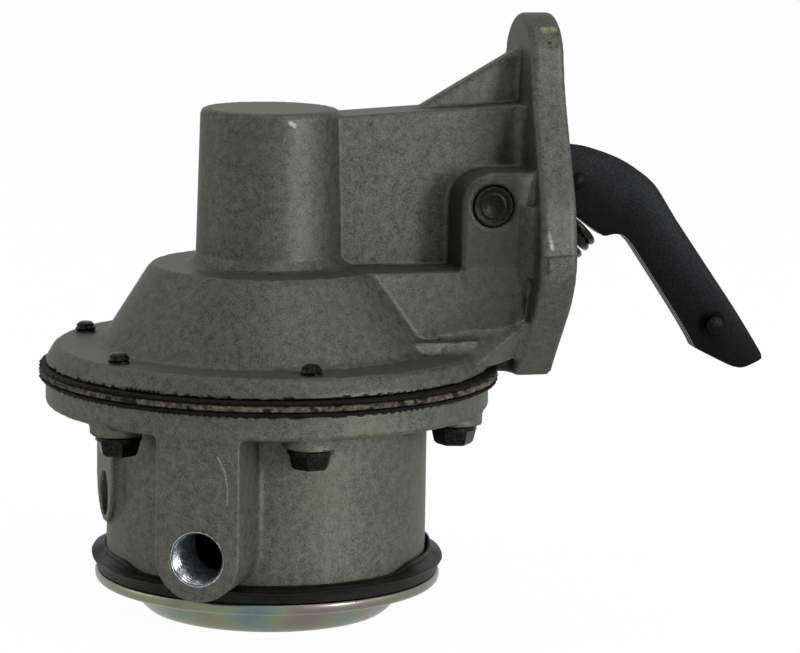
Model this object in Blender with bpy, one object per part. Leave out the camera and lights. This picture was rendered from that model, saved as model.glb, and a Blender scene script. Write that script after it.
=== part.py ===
"""Mechanical fuel pump: CAD source.

Metres, +Z up.  The origin is the centre of the bottom cover's flat rest face,
on the diaphragm axis.  +X points to the mounting flange and the rocker arm.
Sizes below are millimetres; heights are measured from PARTING, the top face of
the diaphragm pack, and turned into world metres where a mesh is made.
"""
import math

import bmesh
import bpy
from mathutils import Matrix, Vector

for stray in list(bpy.data.objects):
    bpy.data.objects.remove(stray, do_unlink=True)

# Driving sizes
MM = 0.001
PARTING = 55.3          # world height of the diaphragm pack's top face
GAP = 0.2               # air between pieces that rest on each other
RUN = 0.08              # radial clearance of running fits
PRESS = 0.05            # radial clearance left round pressed pieces
ROUND = 40              # sides of the large round pieces
SMALL = 20              # sides of the small round pieces

# barrel of the lower body; the other large rounds follow it
BARREL_BORE = 31.0
BARREL_R = BARREL_BORE + 4.5
CLAMP_R = BARREL_R - 2.0    # inner edge of the clamped rim

# flange screws
SCREW_CIRCLE = BARREL_R + 7.4   # leaves room for a hex head beside the barrel
SCREW_ANGLES = (-90.0, -30.0, 30.0, 90.0, 150.0, -150.0)
SCREW_R = 2.4
SCREW_HOLE = 0.4        # radial clearance in the lower flange
SCREW_BOSS_R = 5.3
HEX_AF = 8.0
WASHER_R = 5.0

# diaphragm pack
PACK_R = SCREW_CIRCLE + 7.9
GASKET_T = 0.8
DIAPHRAGM_T = 1.2

# upper housing
DISC_T = 4.15
DISC_TOP_R = PACK_R - 3.0
DISC_FOOT_R = PACK_R - 1.6
SHELF_Z = 21.9          # flat shoulder of the dome
SHELF_R = 26.2
CONE_FOOT_R = 38.0        # where the cone meets the screw flange
TOWER_R = 15.3
TOWER_TOP = 56.3
TOWER_BORE = 12.3
DOME_ROOF = 18.5
SEAL_BORE = 6.2
BLOCK_HALF = 7.0        # narrow upper block, half width
BLOCK_TOP = 54.8        # its top beside the tower
BLOCK_RISE = 57.3       # its top where it meets the mounting flange
CHAMBER_HALF = 4.7      # linkage chamber, half width
CHAMBER_ROOF = 51.6
BOSS_HALF = 18.0        # pivot boss, half width
BASE_HALF = 20.0        # lower block at its foot, half width
LEDGE_HALF = 23.0
RIB_HALF = 2.0

# mounting flange
BACK_X = 56.0
MATE_X = 64.0
FLANGE_TOP = 77.0
FLANGE_FOOT = -3.7
GUSSET_FOOT = -3.5      # underside of the web outside the diaphragm pack
EAR_R = 11.4
FLANGE_HALF = 24.6
BOLT_R = 4.3
BOLT_DEPTH = 6.0        # blind, so that the rib and the web keep their metal
UPPER_BOLT_Z = 64.5
LOWER_BOLT_Z = 6.5
OPENING_HALF = 7.8
OPENING_LOW = 12.6
OPENING_HIGH = 50.5

# pivot
PIVOT_X = 46.3
PIVOT_Z = 35.9
PIN_R = 3.95
PLUG_R = 4.7
PLUG_SEAT = 15.4
BOSS_CORNER = 7.3       # rounded corner of the pivot boss, about the pin

# arm and link
PLATE_INNER = 1.05      # side plates run from here ...
PLATE_OUTER = 2.45      # ... to here, either side of the middle plane
CORE_HALF = 0.85
LINK_HALF = 0.8
LINK_EYE_R = 7.0
ARM_EYE_R = 7.3
RIVET_R = 1.7
RIVET_X, RIVET_Z = 70.3, 39.3
INNER_RIVET_X, INNER_RIVET_Z = 58.6, 41.6
TIP_X, TIP_Z = 103.0, 6.1
TIP_R = 2.05
TIP_BASE_R = 3.3
TIP_HEAD = 2.6

# return spring under the arm
COIL_R = 5.5
COIL_WIRE = 0.9
COIL_TURNS = 8.0
COIL_TOP = (70.1, 29.4)
COIL_TILT = 45.0
COIL_LENGTH = 16.0

# pull rod and diaphragm plates
ROD_R = 3.5
ROD_TOP = 44.0
STUD_R = 2.5
STUD_END = -7.4
COLLAR_R = 6.0
SLOT_LOW, SLOT_HIGH = 33.3, 38.9
SLOT_HALF = 1.5
UPPER_PLATE_R = CLAMP_R - 9.5
LOWER_PLATE_R = CLAMP_R - 11.5
PLATE_T = 1.2
MAIN_COIL_R = 13.0
MAIN_WIRE = 1.0
MAIN_TURNS = 4.0

# lower body
LOWER_FLANGE_R = PACK_R - 2.2
LOWER_FLANGE_END = -9.0
BARREL_END = -43.5
DECK_TOP, DECK_LOW = -13.6, -18.0
PORT_ANGLE = -120.0
PORT_Z = -34.8
PORT_FACE = BARREL_R + 12.8
PORT_HALF = 9.3
PORT_R = 5.85
OUTLET_ANGLE = 180.0
OUTLET_Z = -28.5
OUTLET_FACE = BARREL_R + 1.2
OUTLET_R = 4.8
WALL_ANGLE = -150.0
WALL_HALF = 1.5
HUB_R = 6.0

# valves
VALVE_CIRCLE = 16.0
INLET_VALVE_ANGLE = -60.0
OUTLET_VALVE_ANGLE = 120.0
SEAT_R = 7.0
SEAT_T = 1.8
SEAT_THROAT = 5.6
DISC_R = 5.7
DISC_THICK = 0.8
STEM_R = 0.9
VALVE_LIFT = 3.0        # room for disc travel and the valve spring

# pulsator and cover
RUBBER_T = 2.4
LIP_R = BARREL_R + 3.7
LIP_TOP = -39.8
COVER_R = BARREL_R + 2.9
COVER_T = 1.6
RIM_T = 2.4             # rolled edge of the cover
DISH_R = COVER_R - 7.9
REST_R = DISH_R - 4.5
WELL_R = 9.0
COVER_SCREW_R = 2.4


# Materials
def paint(name, colour, metal, rough):
    mat = bpy.data.materials.new(name)
    mat.use_nodes = True
    shader = mat.node_tree.nodes["Principled BSDF"]
    shader.inputs["Base Color"].default_value = (*colour, 1.0)
    shader.inputs["Metallic"].default_value = metal
    shader.inputs["Roughness"].default_value = rough
    mat.diffuse_color = (*colour, 1.0)
    return mat


CAST = ((0.40, 0.40, 0.38), 0.9, 0.50)
DARK_STEEL = ((0.07, 0.07, 0.08), 0.8, 0.42)
BRIGHT_STEEL = ((0.45, 0.44, 0.42), 1.0, 0.32)
ZINC = ((0.62, 0.58, 0.42), 1.0, 0.28)
BLACK = ((0.02, 0.02, 0.02), 0.1, 0.45)
RUBBER = ((0.025, 0.025, 0.025), 0.0, 0.60)
FABRIC = ((0.20, 0.15, 0.12), 0.0, 0.85)
BRASS = ((0.60, 0.44, 0.18), 1.0, 0.35)


# Mesh helpers
def make(name, bm, finish, origin=(0.0, 0.0, 0.0)):
    """Turn a bmesh in millimetres into a named object with its own material."""
    bmesh.ops.remove_doubles(bm, verts=bm.verts, dist=1e-4)
    bmesh.ops.recalc_face_normals(bm, faces=bm.faces)
    shift = Vector((0.0, 0.0, PARTING)) - Vector(origin)
    for vert in bm.verts:
        vert.co = (vert.co + shift) * MM
    mesh = bpy.data.meshes.new(name)
    bm.to_mesh(mesh)
    bm.free()
    obj = bpy.data.objects.new(name, mesh)
    obj.location = Vector(origin) * MM
    bpy.context.scene.collection.objects.link(obj)
    if finish:
        mesh.materials.append(paint(name, *finish))
    return obj


def world(x, y, z):
    """World millimetres of a point whose height is measured from PARTING."""
    return (x, y, z + PARTING)


def lathe(profile, sides=ROUND, centre=(0.0, 0.0)):
    """Closed (radius, height) profile turned about a vertical axis."""
    bm = bmesh.new()
    rings = []
    for radius, height in profile:
        if radius < 1e-6:
            rings.append([bm.verts.new((centre[0], centre[1], height))])
            continue
        ring = []
        for i in range(sides):
            turn = 2.0 * math.pi * i / sides
            ring.append(bm.verts.new((centre[0] + radius * math.cos(turn),
                                      centre[1] + radius * math.sin(turn), height)))
        rings.append(ring)
    for low, high in zip(rings, rings[1:] + rings[:1]):
        if len(low) == 1 and len(high) == 1:
            continue
        for i in range(sides):
            j = (i + 1) % sides
            if len(low) == 1:
                bm.faces.new((low[0], high[j], high[i]))
            elif len(high) == 1:
                bm.faces.new((low[i], low[j], high[0]))
            else:
                bm.faces.new((low[i], low[j], high[j], high[i]))
    return bm


def peg(radius, low, high, angle, sides=12):
    """Upright round peg on the screw circle, radius across its flats."""
    cx, cy = on_circle(SCREW_CIRCLE, angle)
    corner = radius / math.cos(math.pi / sides)
    bm = lathe([(0.0, low), (corner, low), (corner, high), (0.0, high)], sides)
    turned(bm, angle + 0.3 * sides)
    bmesh.ops.translate(bm, vec=(cx, cy, 0.0), verts=bm.verts)
    return bm


def prism(outline, near, far, plane="XZ"):
    """Flat outline pushed from near to far across its plane."""
    place = {"XZ": lambda a, b, c: (a, c, b),
             "YZ": lambda a, b, c: (c, a, b),
             "XY": lambda a, b, c: (a, b, c)}[plane]
    bm = bmesh.new()
    first = [bm.verts.new(place(a, b, near)) for a, b in outline]
    second = [bm.verts.new(place(a, b, far)) for a, b in outline]
    bm.faces.new(first)
    bm.faces.new(list(reversed(second)))
    count = len(outline)
    for i in range(count):
        j = (i + 1) % count
        bm.faces.new((first[j], first[i], second[i], second[j]))
    return bm


def hull(points):
    bm = bmesh.new()
    for point in points:
        bm.verts.new(point)
    bmesh.ops.convex_hull(bm, input=bm.verts)
    return bm


def arc(cx, cy, radius, start, end, steps):
    """Points along an arc, angles in degrees."""
    points = []
    for i in range(steps + 1):
        turn = math.radians(start + (end - start) * i / steps)
        points.append((cx + radius * math.cos(turn), cy + radius * math.sin(turn)))
    return points


def disc(cx, cy, radius, sides=SMALL):
    return arc(cx, cy, radius, 0.0, 360.0 * (sides - 1) / sides, sides - 1)


def turned(bm, angle, centre=(0.0, 0.0, 0.0), axis="Z"):
    bmesh.ops.rotate(bm, verts=bm.verts, cent=centre,
                     matrix=Matrix.Rotation(math.radians(angle), 3, axis))
    return bm


def radial_bar(radius, height, near, far, angle, sides=SMALL):
    """Round bar lying along a horizontal direction, from near to far."""
    return turned(prism(disc(0.0, height, radius, sides), near, far, "YZ"), angle)


def on_circle(radius, angle):
    return (radius * math.cos(math.radians(angle)), radius * math.sin(math.radians(angle)))


def hexagon(across_flats, cx, cy):
    return arc(cx, cy, across_flats / math.sqrt(3.0), 0.0, 300.0, 5)


def combine(obj, adds=(), cuts=()):
    """Union and difference of whole meshes, evaluated into the object."""
    helpers = []
    for operation, group in (("UNION", adds), ("DIFFERENCE", cuts)):
        for bm in group:
            other = make("helper", bm, None)
            other.hide_render = True
            other.display_type = "WIRE"
            step = obj.modifiers.new(operation.title(), "BOOLEAN")
            step.operation = operation
            step.solver = "EXACT"
            step.object = other
            helpers.append(other)
    bpy.context.view_layer.update()
    graph = bpy.context.evaluated_depsgraph_get()
    solid = bpy.data.meshes.new_from_object(obj.evaluated_get(graph))
    obj.modifiers.clear()
    old = obj.data
    obj.data = solid
    bpy.data.meshes.remove(old)
    for other in helpers:
        mesh = other.data
        bpy.data.objects.remove(other, do_unlink=True)
        bpy.data.meshes.remove(mesh)
    return obj


def smooth(obj, angle=32.0):
    obj.data.shade_smooth()
    obj.data.set_sharp_from_angle(angle=math.radians(angle))
    return obj


def coil(centre_line, radius, wire, turns, steps=16, sides=8):
    """Round wire wound about the line from centre_line[0] to centre_line[1].

    A quarter turn at either end lies flat, as ground spring ends do.
    """
    start, end = Vector(centre_line[0]), Vector(centre_line[1])
    along = (end - start).normalized()
    across = Vector((0.0, 1.0, 0.0))
    up = along.cross(across)
    length = (end - start).length
    count = int(turns * steps)
    bm = bmesh.new()
    rings = []
    for i in range(count + 1):
        turn = 2.0 * math.pi * i / steps
        share = min(max((i / steps - 0.5) / (turns - 1.0), 0.0), 1.0)
        out = across * math.cos(turn) + up * math.sin(turn)
        middle = start + along * (length * share) + out * radius
        ring = []
        for k in range(sides):
            spin = 2.0 * math.pi * k / sides
            ring.append(bm.verts.new(middle + out * (wire * math.cos(spin))
                                     + along * (wire * math.sin(spin))))
        rings.append(ring)
    for low, high in zip(rings, rings[1:]):
        for k in range(sides):
            m = (k + 1) % sides
            bm.faces.new((low[k], low[m], high[m], high[k]))
    bm.faces.new(list(reversed(rings[0])))
    bm.faces.new(rings[-1])
    return bm


# Upper housing
def flange_outline():
    """Mounting flange seen along X: a bolt ear on top, a tapered foot below."""
    shoulder = [(16.0, 52.0), (22.9, 36.0), (FLANGE_HALF, 26.0), (24.2, 20.0), (21.0, 13.5)]
    foot = [(13.7, 5.0), (9.7, 0.5), (7.4, -2.4), (6.3, FLANGE_FOOT)]
    right = arc(0.0, FLANGE_TOP - EAR_R, EAR_R, 90.0, -15.0, 9)
    half = right + shoulder + foot
    mirror = [(-y, z) for y, z in reversed(half[1:])]
    return half + mirror


housing = make("upper_housing", lathe([
    (DISC_FOOT_R, 0.0), (DISC_TOP_R + 0.6, DISC_T - 0.9), (DISC_TOP_R - 0.5, DISC_T),
    (CONE_FOOT_R, DISC_T), (CONE_FOOT_R - 1.3, DISC_T + 0.8), (SHELF_R + 0.5, SHELF_Z - 1.0),
    (SHELF_R - 0.6, SHELF_Z), (18.9, SHELF_Z), (17.2, SHELF_Z + 0.6), (16.1, SHELF_Z + 2.4),
    (TOWER_R, TOWER_TOP - 1.2), (TOWER_R - 0.4, TOWER_TOP - 0.35), (TOWER_R - 1.2, TOWER_TOP),
    (0.0, TOWER_TOP), (0.0, 0.0)]), CAST)

pivot_corner = arc(PIVOT_X, PIVOT_Z, BOSS_CORNER, 180.0, 90.0, 8)
block = [(11.0, SHELF_Z - 1.0), (11.0, BLOCK_TOP), (14.0, BLOCK_TOP),
         (BACK_X + 0.4, BLOCK_RISE), (BACK_X + 0.4, SHELF_Z - 1.0)]
web = [(x, side * y, z) for side in (-1.0, 1.0) for x, y, z in (
    (34.0, 26.0, 0.4), (37.6, 28.6, 0.4), (46.0, 19.8, 0.4), (BACK_X + 0.4, 6.9, 0.4),
    (34.0, 24.0, 4.4), (44.0, 20.6, 4.8), (47.5, 18.6, 7.2), (BACK_X + 0.4, 15.6, 10.4),
    (34.0, 18.0, 8.0))]
gusset = [(x, side * y, z) for side in (-1.0, 1.0) for x, y, z in (
    (PACK_R + 0.6, 2.0, GUSSET_FOOT), (PACK_R + 0.6, 4.0, 1.2), (BACK_X + 0.4, 3.4, GUSSET_FOOT),
    (BACK_X + 0.4, 6.0, GUSSET_FOOT + 0.8), (BACK_X + 0.4, 7.0, 1.2))]
housing_adds = [
    prism(flange_outline(), BACK_X, MATE_X, "YZ"),
    prism(block, -BLOCK_HALF, BLOCK_HALF),
    prism([(29.7, 54.0), (BACK_X + 0.4, 54.0), (BACK_X + 0.4, 69.4)], -RIB_HALF, RIB_HALF),
    prism([(PIVOT_X - BOSS_CORNER, 16.0)] + pivot_corner
          + [(BACK_X + 0.4, PIVOT_Z + BOSS_CORNER), (BACK_X + 0.4, 16.0)],
          -BOSS_HALF, BOSS_HALF),
    hull([(x, s * y, z) for s in (-1.0, 1.0) for x, y, z in (
        (15.0, BOSS_HALF, SHELF_Z), (BACK_X + 0.4, BOSS_HALF, SHELF_Z),
        (22.0, BASE_HALF, 7.6), (BACK_X + 0.4, 14.4, 7.6), (48.5, 18.2, 7.6), (22.0, 17.0, 1.0),
        (48.5, 16.0, 1.0))]),
    hull([(x, s * y, z) for s in (-1.0, 1.0) for x, y, z in (
        (26.4, LEDGE_HALF, 7.2), (27.4, LEDGE_HALF, 3.0), (39.8, LEDGE_HALF, 3.0),
        (42.4, LEDGE_HALF - 1.4, 7.2), (24.0, 15.0, 7.2), (44.0, 15.0, 7.2),
        (24.0, 15.0, 3.0), (44.0, 15.0, 3.0))]),
    hull(web),
    hull(gusset),
]
for side in (-1.0, 1.0):
    housing_adds.append(prism([(52.7, side * (BOSS_HALF - 1.0)), (52.7, side * BOSS_HALF),
                               (BACK_X + 0.4, side * (BOSS_HALF + 3.5)),
                               (BACK_X + 0.4, side * (BOSS_HALF - 1.0))], 20.0, 36.0, "XY"))
    housing_adds.append(prism([(54.4, side * (BLOCK_HALF - 1.0)), (54.4, side * BLOCK_HALF),
                               (BACK_X + 0.4, side * (BLOCK_HALF + 1.9)),
                               (BACK_X + 0.4, side * (BLOCK_HALF - 1.0))], 42.0, BLOCK_RISE - 0.3, "XY"))

slope = math.tan(math.radians(90.0 - COIL_TILT))
behind = COIL_LENGTH + COIL_WIRE + GAP
seat_x = COIL_TOP[0] - behind * math.cos(math.radians(COIL_TILT))
seat_z = COIL_TOP[1] - behind * math.sin(math.radians(COIL_TILT))
pocket = [(MATE_X + 1.0, OPENING_LOW), (seat_x + (seat_z - OPENING_LOW) / slope, OPENING_LOW),
          (50.6, seat_z + (seat_x - 50.6) * slope), (50.6, 31.0), (BACK_X, 31.0),
          (BACK_X, OPENING_HIGH), (MATE_X + 1.0, OPENING_HIGH)]
chamber = [(0.0, 28.0), (0.0, CHAMBER_ROOF), (52.0, CHAMBER_ROOF), (BACK_X, OPENING_HIGH),
           (MATE_X + 1.0, OPENING_HIGH), (MATE_X + 1.0, 27.2), (36.0, 27.2), (36.0, 28.0)]
housing_cuts = [
    lathe([(0.0, -1.0), (CLAMP_R, -1.0), (CLAMP_R, 0.6), (CLAMP_R - 0.5, 2.5), (22.8, DOME_ROOF),
           (SEAL_BORE, DOME_ROOF), (SEAL_BORE, SHELF_Z), (TOWER_BORE, SHELF_Z),
           (TOWER_BORE, TOWER_TOP - 3.0), (0.0, TOWER_TOP - 3.0)]),
    prism(chamber, -CHAMBER_HALF, CHAMBER_HALF),
    prism(pocket, -OPENING_HALF, OPENING_HALF),
    prism(disc(PIVOT_X, PIVOT_Z, PIN_R + PRESS), -BOSS_HALF - 1.0, BOSS_HALF + 1.0),
    prism(disc(PIVOT_X, PIVOT_Z, PLUG_R + PRESS), -BOSS_HALF - 1.0, -PLUG_SEAT),
    prism(disc(PIVOT_X, PIVOT_Z, PLUG_R + PRESS), PLUG_SEAT, BOSS_HALF + 1.0),
    prism(disc(0.0, UPPER_BOLT_Z, BOLT_R), MATE_X - BOLT_DEPTH, MATE_X + 1.0, "YZ"),
    prism(disc(0.0, LOWER_BOLT_Z, BOLT_R), MATE_X - BOLT_DEPTH, MATE_X + 1.0, "YZ"),
]
housing_cuts += [peg(SCREW_R + PRESS, -1.0, 7.0, angle) for angle in SCREW_ANGLES]
combine(housing, housing_adds, housing_cuts)
smooth(housing)

# Lower body
def port_slab(half, centre_z, near, far, angle, top=LOWER_FLANGE_END + 2.0):
    """Flat boss with a rounded lower end, standing out along a direction."""
    outline = [(half, top), (-half, top)] + arc(0.0, centre_z, half, 180.0, 360.0, 12)
    return turned(prism(outline, near, far, "YZ"), angle)


lower = make("lower_body", lathe([
    (CLAMP_R, -3.0 - 3 * GAP), (LOWER_FLANGE_R, -3.0 - 3 * GAP),
    (LOWER_FLANGE_R, LOWER_FLANGE_END + 0.6), (LOWER_FLANGE_R - 0.6, LOWER_FLANGE_END),
    (BARREL_R + 1.2, LOWER_FLANGE_END), (BARREL_R, LOWER_FLANGE_END - 1.2),
    (BARREL_R, BARREL_END), (BARREL_BORE, BARREL_END), (BARREL_BORE, DECK_LOW),
    (0.0, DECK_LOW), (0.0, DECK_TOP), (CLAMP_R - 5.0, DECK_TOP), (CLAMP_R, -8.6)]), CAST)
lower_adds = [
    port_slab(PORT_HALF, PORT_Z, BARREL_BORE + 1.5, PORT_FACE, PORT_ANGLE),
    port_slab(PORT_HALF, OUTLET_Z, BARREL_BORE + 1.5, OUTLET_FACE, OUTLET_ANGLE),
    turned(prism([(-BARREL_BORE - 1.0, DECK_LOW + 1.0), (BARREL_BORE + 1.0, DECK_LOW + 1.0),
                  (BARREL_BORE + 1.0, BARREL_END), (-BARREL_BORE - 1.0, BARREL_END)],
                 -WALL_HALF, WALL_HALF), WALL_ANGLE),
    lathe([(0.0, DECK_LOW + 1.0), (HUB_R, DECK_LOW + 1.0), (HUB_R, BARREL_END),
           (0.0, BARREL_END)], SMALL),
]
lower_cuts = [
    radial_bar(PORT_R, PORT_Z, BARREL_BORE - 6.0, PORT_FACE + 1.0, PORT_ANGLE),
    radial_bar(OUTLET_R, OUTLET_Z, BARREL_BORE - 6.0, OUTLET_FACE + 1.0, OUTLET_ANGLE),
    lathe([(0.0, BARREL_END - 1.0), (COVER_SCREW_R + PRESS, BARREL_END - 1.0),
           (COVER_SCREW_R + PRESS, -30.0), (0.0, -30.0)], SMALL),
]
for angle in SCREW_ANGLES:
    lower_adds.append(peg(SCREW_BOSS_R, -11.2, -6.0, angle, SMALL))
    lower_cuts.append(peg(SCREW_R + SCREW_HOLE, -13.0, -2.0, angle))
for angle, face, back in ((INLET_VALVE_ANGLE, DECK_TOP, DECK_LOW),
                          (OUTLET_VALVE_ANGLE, DECK_LOW, DECK_TOP)):
    away = 1.0 if face > back else -1.0
    floor = face - away * (SEAT_T + 2 * GAP)
    lower_cuts.append(lathe([(0.0, face + away), (SEAT_R + PRESS, face + away),
                             (SEAT_R + PRESS, floor), (SEAT_THROAT, floor),
                             (SEAT_THROAT, back - away), (0.0, back - away)], SMALL,
                            on_circle(VALVE_CIRCLE, angle)))
combine(lower, lower_adds, lower_cuts)
smooth(lower)

# Diaphragm pack
height = -GAP
pack = (("gasket_upper", GASKET_T, CLAMP_R, BLACK), ("main_diaphragm", DIAPHRAGM_T, None, FABRIC),
        ("gasket_lower", GASKET_T, CLAMP_R, BLACK))
for name, thick, inner, finish in pack:
    inner = inner or STUD_R + RUN
    ply = make(name, lathe([(inner, height), (PACK_R, height), (PACK_R, height - thick),
                            (inner, height - thick)]), finish)
    combine(ply, (), [peg(SCREW_R + SCREW_HOLE, -5.0, 1.0, angle) for angle in SCREW_ANGLES])
    smooth(ply)
    height -= thick + GAP
DIAPHRAGM_TOP = -2 * GAP - GASKET_T
DIAPHRAGM_LOW = DIAPHRAGM_TOP - DIAPHRAGM_T

# Pull rod and what rides on it
plate_low = DIAPHRAGM_TOP + GAP
smooth(make("upper_plate", lathe([
    (STUD_R + PRESS, plate_low), (UPPER_PLATE_R - 1.0, plate_low),
    (UPPER_PLATE_R, plate_low + 1.0), (UPPER_PLATE_R - 0.6, plate_low + 1.0 + PLATE_T),
    (UPPER_PLATE_R - 2.0, plate_low + PLATE_T), (STUD_R + PRESS, plate_low + PLATE_T)]),
    BRIGHT_STEEL))
collar_low = plate_low + PLATE_T + GAP
plate_high = DIAPHRAGM_LOW - GAP
smooth(make("lower_plate", lathe([
    (STUD_R + PRESS, plate_high), (LOWER_PLATE_R - 1.0, plate_high),
    (LOWER_PLATE_R, plate_high - 1.0), (LOWER_PLATE_R - 0.6, plate_high - 1.0 - PLATE_T),
    (LOWER_PLATE_R - 2.0, plate_high - PLATE_T), (STUD_R + PRESS, plate_high - PLATE_T)]),
    BRIGHT_STEEL))
nut_high = plate_high - PLATE_T - GAP
nut = make("rod_nut", prism(hexagon(HEX_AF, 0.0, 0.0), nut_high - 2.6, nut_high, "XY"),
           BRIGHT_STEEL)
combine(nut, (), [lathe([(0.0, nut_high + 1.0), (STUD_R + PRESS, nut_high + 1.0),
                         (STUD_R + PRESS, nut_high - 4.0), (0.0, nut_high - 4.0)], SMALL)])
rod = make("pull_rod", lathe([
    (0.0, STUD_END), (STUD_R - 0.4, STUD_END), (STUD_R, STUD_END + 0.4), (STUD_R, collar_low),
    (COLLAR_R, collar_low), (COLLAR_R, collar_low + 1.6), (ROD_R, collar_low + 1.6),
    (ROD_R, ROD_TOP - 0.6), (ROD_R - 0.6, ROD_TOP), (0.0, ROD_TOP)], SMALL), BRIGHT_STEEL)
combine(rod, (), [prism([(-9.0, SLOT_LOW), (9.0, SLOT_LOW), (9.0, SLOT_HIGH),
                         (-9.0, SLOT_HIGH)], -SLOT_HALF, SLOT_HALF)])
smooth(rod)

# spring over the rod, the plate it pushes from and the seal above it
seat_top = DOME_ROOF - GAP
smooth(make("spring_seat", lathe([
    (SEAL_BORE + 1.6, seat_top), (17.0, seat_top), (17.0, seat_top - 2.6),
    (15.8, seat_top - 2.6), (15.8, seat_top - PLATE_T), (9.4, seat_top - PLATE_T),
    (9.4, seat_top - 3.6), (SEAL_BORE + 2.0, seat_top - 3.6),
    (SEAL_BORE + 1.6, seat_top - PLATE_T)]), ZINC))
smooth(make("rod_seal", lathe([
    (ROD_R + RUN, DOME_ROOF + 0.2), (SEAL_BORE - PRESS, DOME_ROOF + 0.2),
    (SEAL_BORE - PRESS, SHELF_Z + GAP), (SEAL_BORE + 2.0, SHELF_Z + GAP),
    (SEAL_BORE + 2.0, SHELF_Z + 1.6), (ROD_R + 1.0, SHELF_Z + 3.2),
    (ROD_R + RUN, SHELF_Z + 3.2)], SMALL), RUBBER))
coil_low = plate_low + PLATE_T + GAP + MAIN_WIRE
coil_high = seat_top - PLATE_T - GAP - MAIN_WIRE
smooth(make("diaphragm_spring", coil(((0.0, 0.0, coil_low), (0.0, 0.0, coil_high)),
                                     MAIN_COIL_R, MAIN_WIRE, MAIN_TURNS, 16, 5),
            BRIGHT_STEEL), 60.0)

# Arm and its pin
ARM_ORIGIN = world(PIVOT_X, 0.0, PIVOT_Z)
top_edge = [(63.0, 47.6), (68.7, 46.9), (74.3, 45.4), (78.6, 43.7), (83.5, 41.4), (87.2, 38.7),
            (89.6, 36.2)]
tip_edge = [(97.9, 24.4), (103.2, 16.9), (108.2, 9.4), (113.1, 1.9), (115.0, -1.0), (115.4, -2.2),
            (114.6, -2.8), (111.6, -4.1), (110.2, -4.3), (107.9, -3.8), (99.2, 0.6),
            (98.4, 2.3), (95.9, 6.1), (90.9, 13.5), (85.7, 21.0), (83.2, 24.7), (81.1, 26.8),
            (79.1, 27.1), (76.9, 26.7), (75.6, 27.4), (72.0, 30.1), (64.2, 36.4)]
arm_eye = arc(PIVOT_X, PIVOT_Z, ARM_EYE_R, -66.0, -250.0, 14)
plate_outline = top_edge + tip_edge + arm_eye + [(55.0, 46.6)]
core_edge = [(63.0, 48.3), (69.2, 47.5), (72.0, 47.1), (77.2, 45.5), (82.1, 43.3), (87.1, 39.9),
             (90.1, 36.7)]
core_outline = core_edge + tip_edge + arm_eye + [(55.0, 46.6)]
rivets = [(RIVET_X, RIVET_Z), (INNER_RIVET_X, INNER_RIVET_Z)]
for name, outline, near, far in (("arm_plate_near", plate_outline, -PLATE_OUTER, -PLATE_INNER),
                                 ("arm_core", core_outline, -CORE_HALF, CORE_HALF),
                                 ("arm_plate_far", plate_outline, PLATE_INNER, PLATE_OUTER)):
    layer = make(name, prism(outline, near, far), DARK_STEEL, ARM_ORIGIN)
    eye = LINK_EYE_R + 0.5 if name == "arm_core" else PIN_R + RUN
    holes = [prism(disc(PIVOT_X, PIVOT_Z, eye), near - 1.0, far + 1.0)]
    if name == "arm_core":
        holes.append(prism([(30.0, 20.0), (53.0, 20.0), (53.0, 60.0), (30.0, 60.0)], -9.0, 9.0))
    for x, z in rivets:
        holes.append(prism(disc(x, z, RIVET_R + PRESS, 16), near - 1.0, far + 1.0))
    holes.append(prism(disc(TIP_X, TIP_Z, TIP_R + PRESS, 16), near - 1.0, far + 1.0))
    combine(layer, (), holes)


def across(profile, x, z, sides=16):
    """Round piece on an axis along Y through (x, z); profile is (radius, y)."""
    bm = lathe(profile, sides)
    turned(bm, 90.0, axis="X")
    bmesh.ops.scale(bm, vec=(1.0, -1.0, 1.0), verts=bm.verts)
    bmesh.ops.reverse_faces(bm, faces=bm.faces)
    bmesh.ops.translate(bm, vec=(x, 0.0, z), verts=bm.verts)
    return bm


face = PLATE_OUTER + GAP
for name, (x, z) in zip(("arm_rivet_outer", "arm_rivet_inner"), rivets):
    smooth(make(name, across([
        (0.0, -face - 0.3), (RIVET_R + 0.5, -face - 0.3), (RIVET_R + 0.9, -face),
        (RIVET_R, -face), (RIVET_R, face), (RIVET_R + 0.9, face), (RIVET_R + 0.5, face + 0.3),
        (0.0, face + 0.3)], x, z), DARK_STEEL, ARM_ORIGIN))
smooth(make("arm_tip_pin", across([
    (0.0, -face - TIP_HEAD), (TIP_R - 0.3, -face - TIP_HEAD), (TIP_R, -face - TIP_HEAD + 0.3),
    (TIP_BASE_R, -face), (TIP_R, -face), (TIP_R, face), (TIP_BASE_R, face),
    (TIP_R, face + TIP_HEAD - 0.3), (TIP_R - 0.3, face + TIP_HEAD), (0.0, face + TIP_HEAD)],
    TIP_X, TIP_Z), DARK_STEEL, ARM_ORIGIN))

link_outline = (arc(PIVOT_X, PIVOT_Z, LINK_EYE_R, -100.0, 110.0, 14)
                + [(20.0, 39.6), (5.0, 38.2), (-5.2, 38.2), (-6.4, 37.4), (-6.4, 34.8),
                   (-5.2, 34.0), (5.0, 34.0), (20.0, 33.4)])
link = make("link", prism(link_outline, -LINK_HALF, LINK_HALF), BRIGHT_STEEL, ARM_ORIGIN)
combine(link, (), [prism(disc(PIVOT_X, PIVOT_Z, PIN_R + RUN), -9.0, 9.0)])

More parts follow.
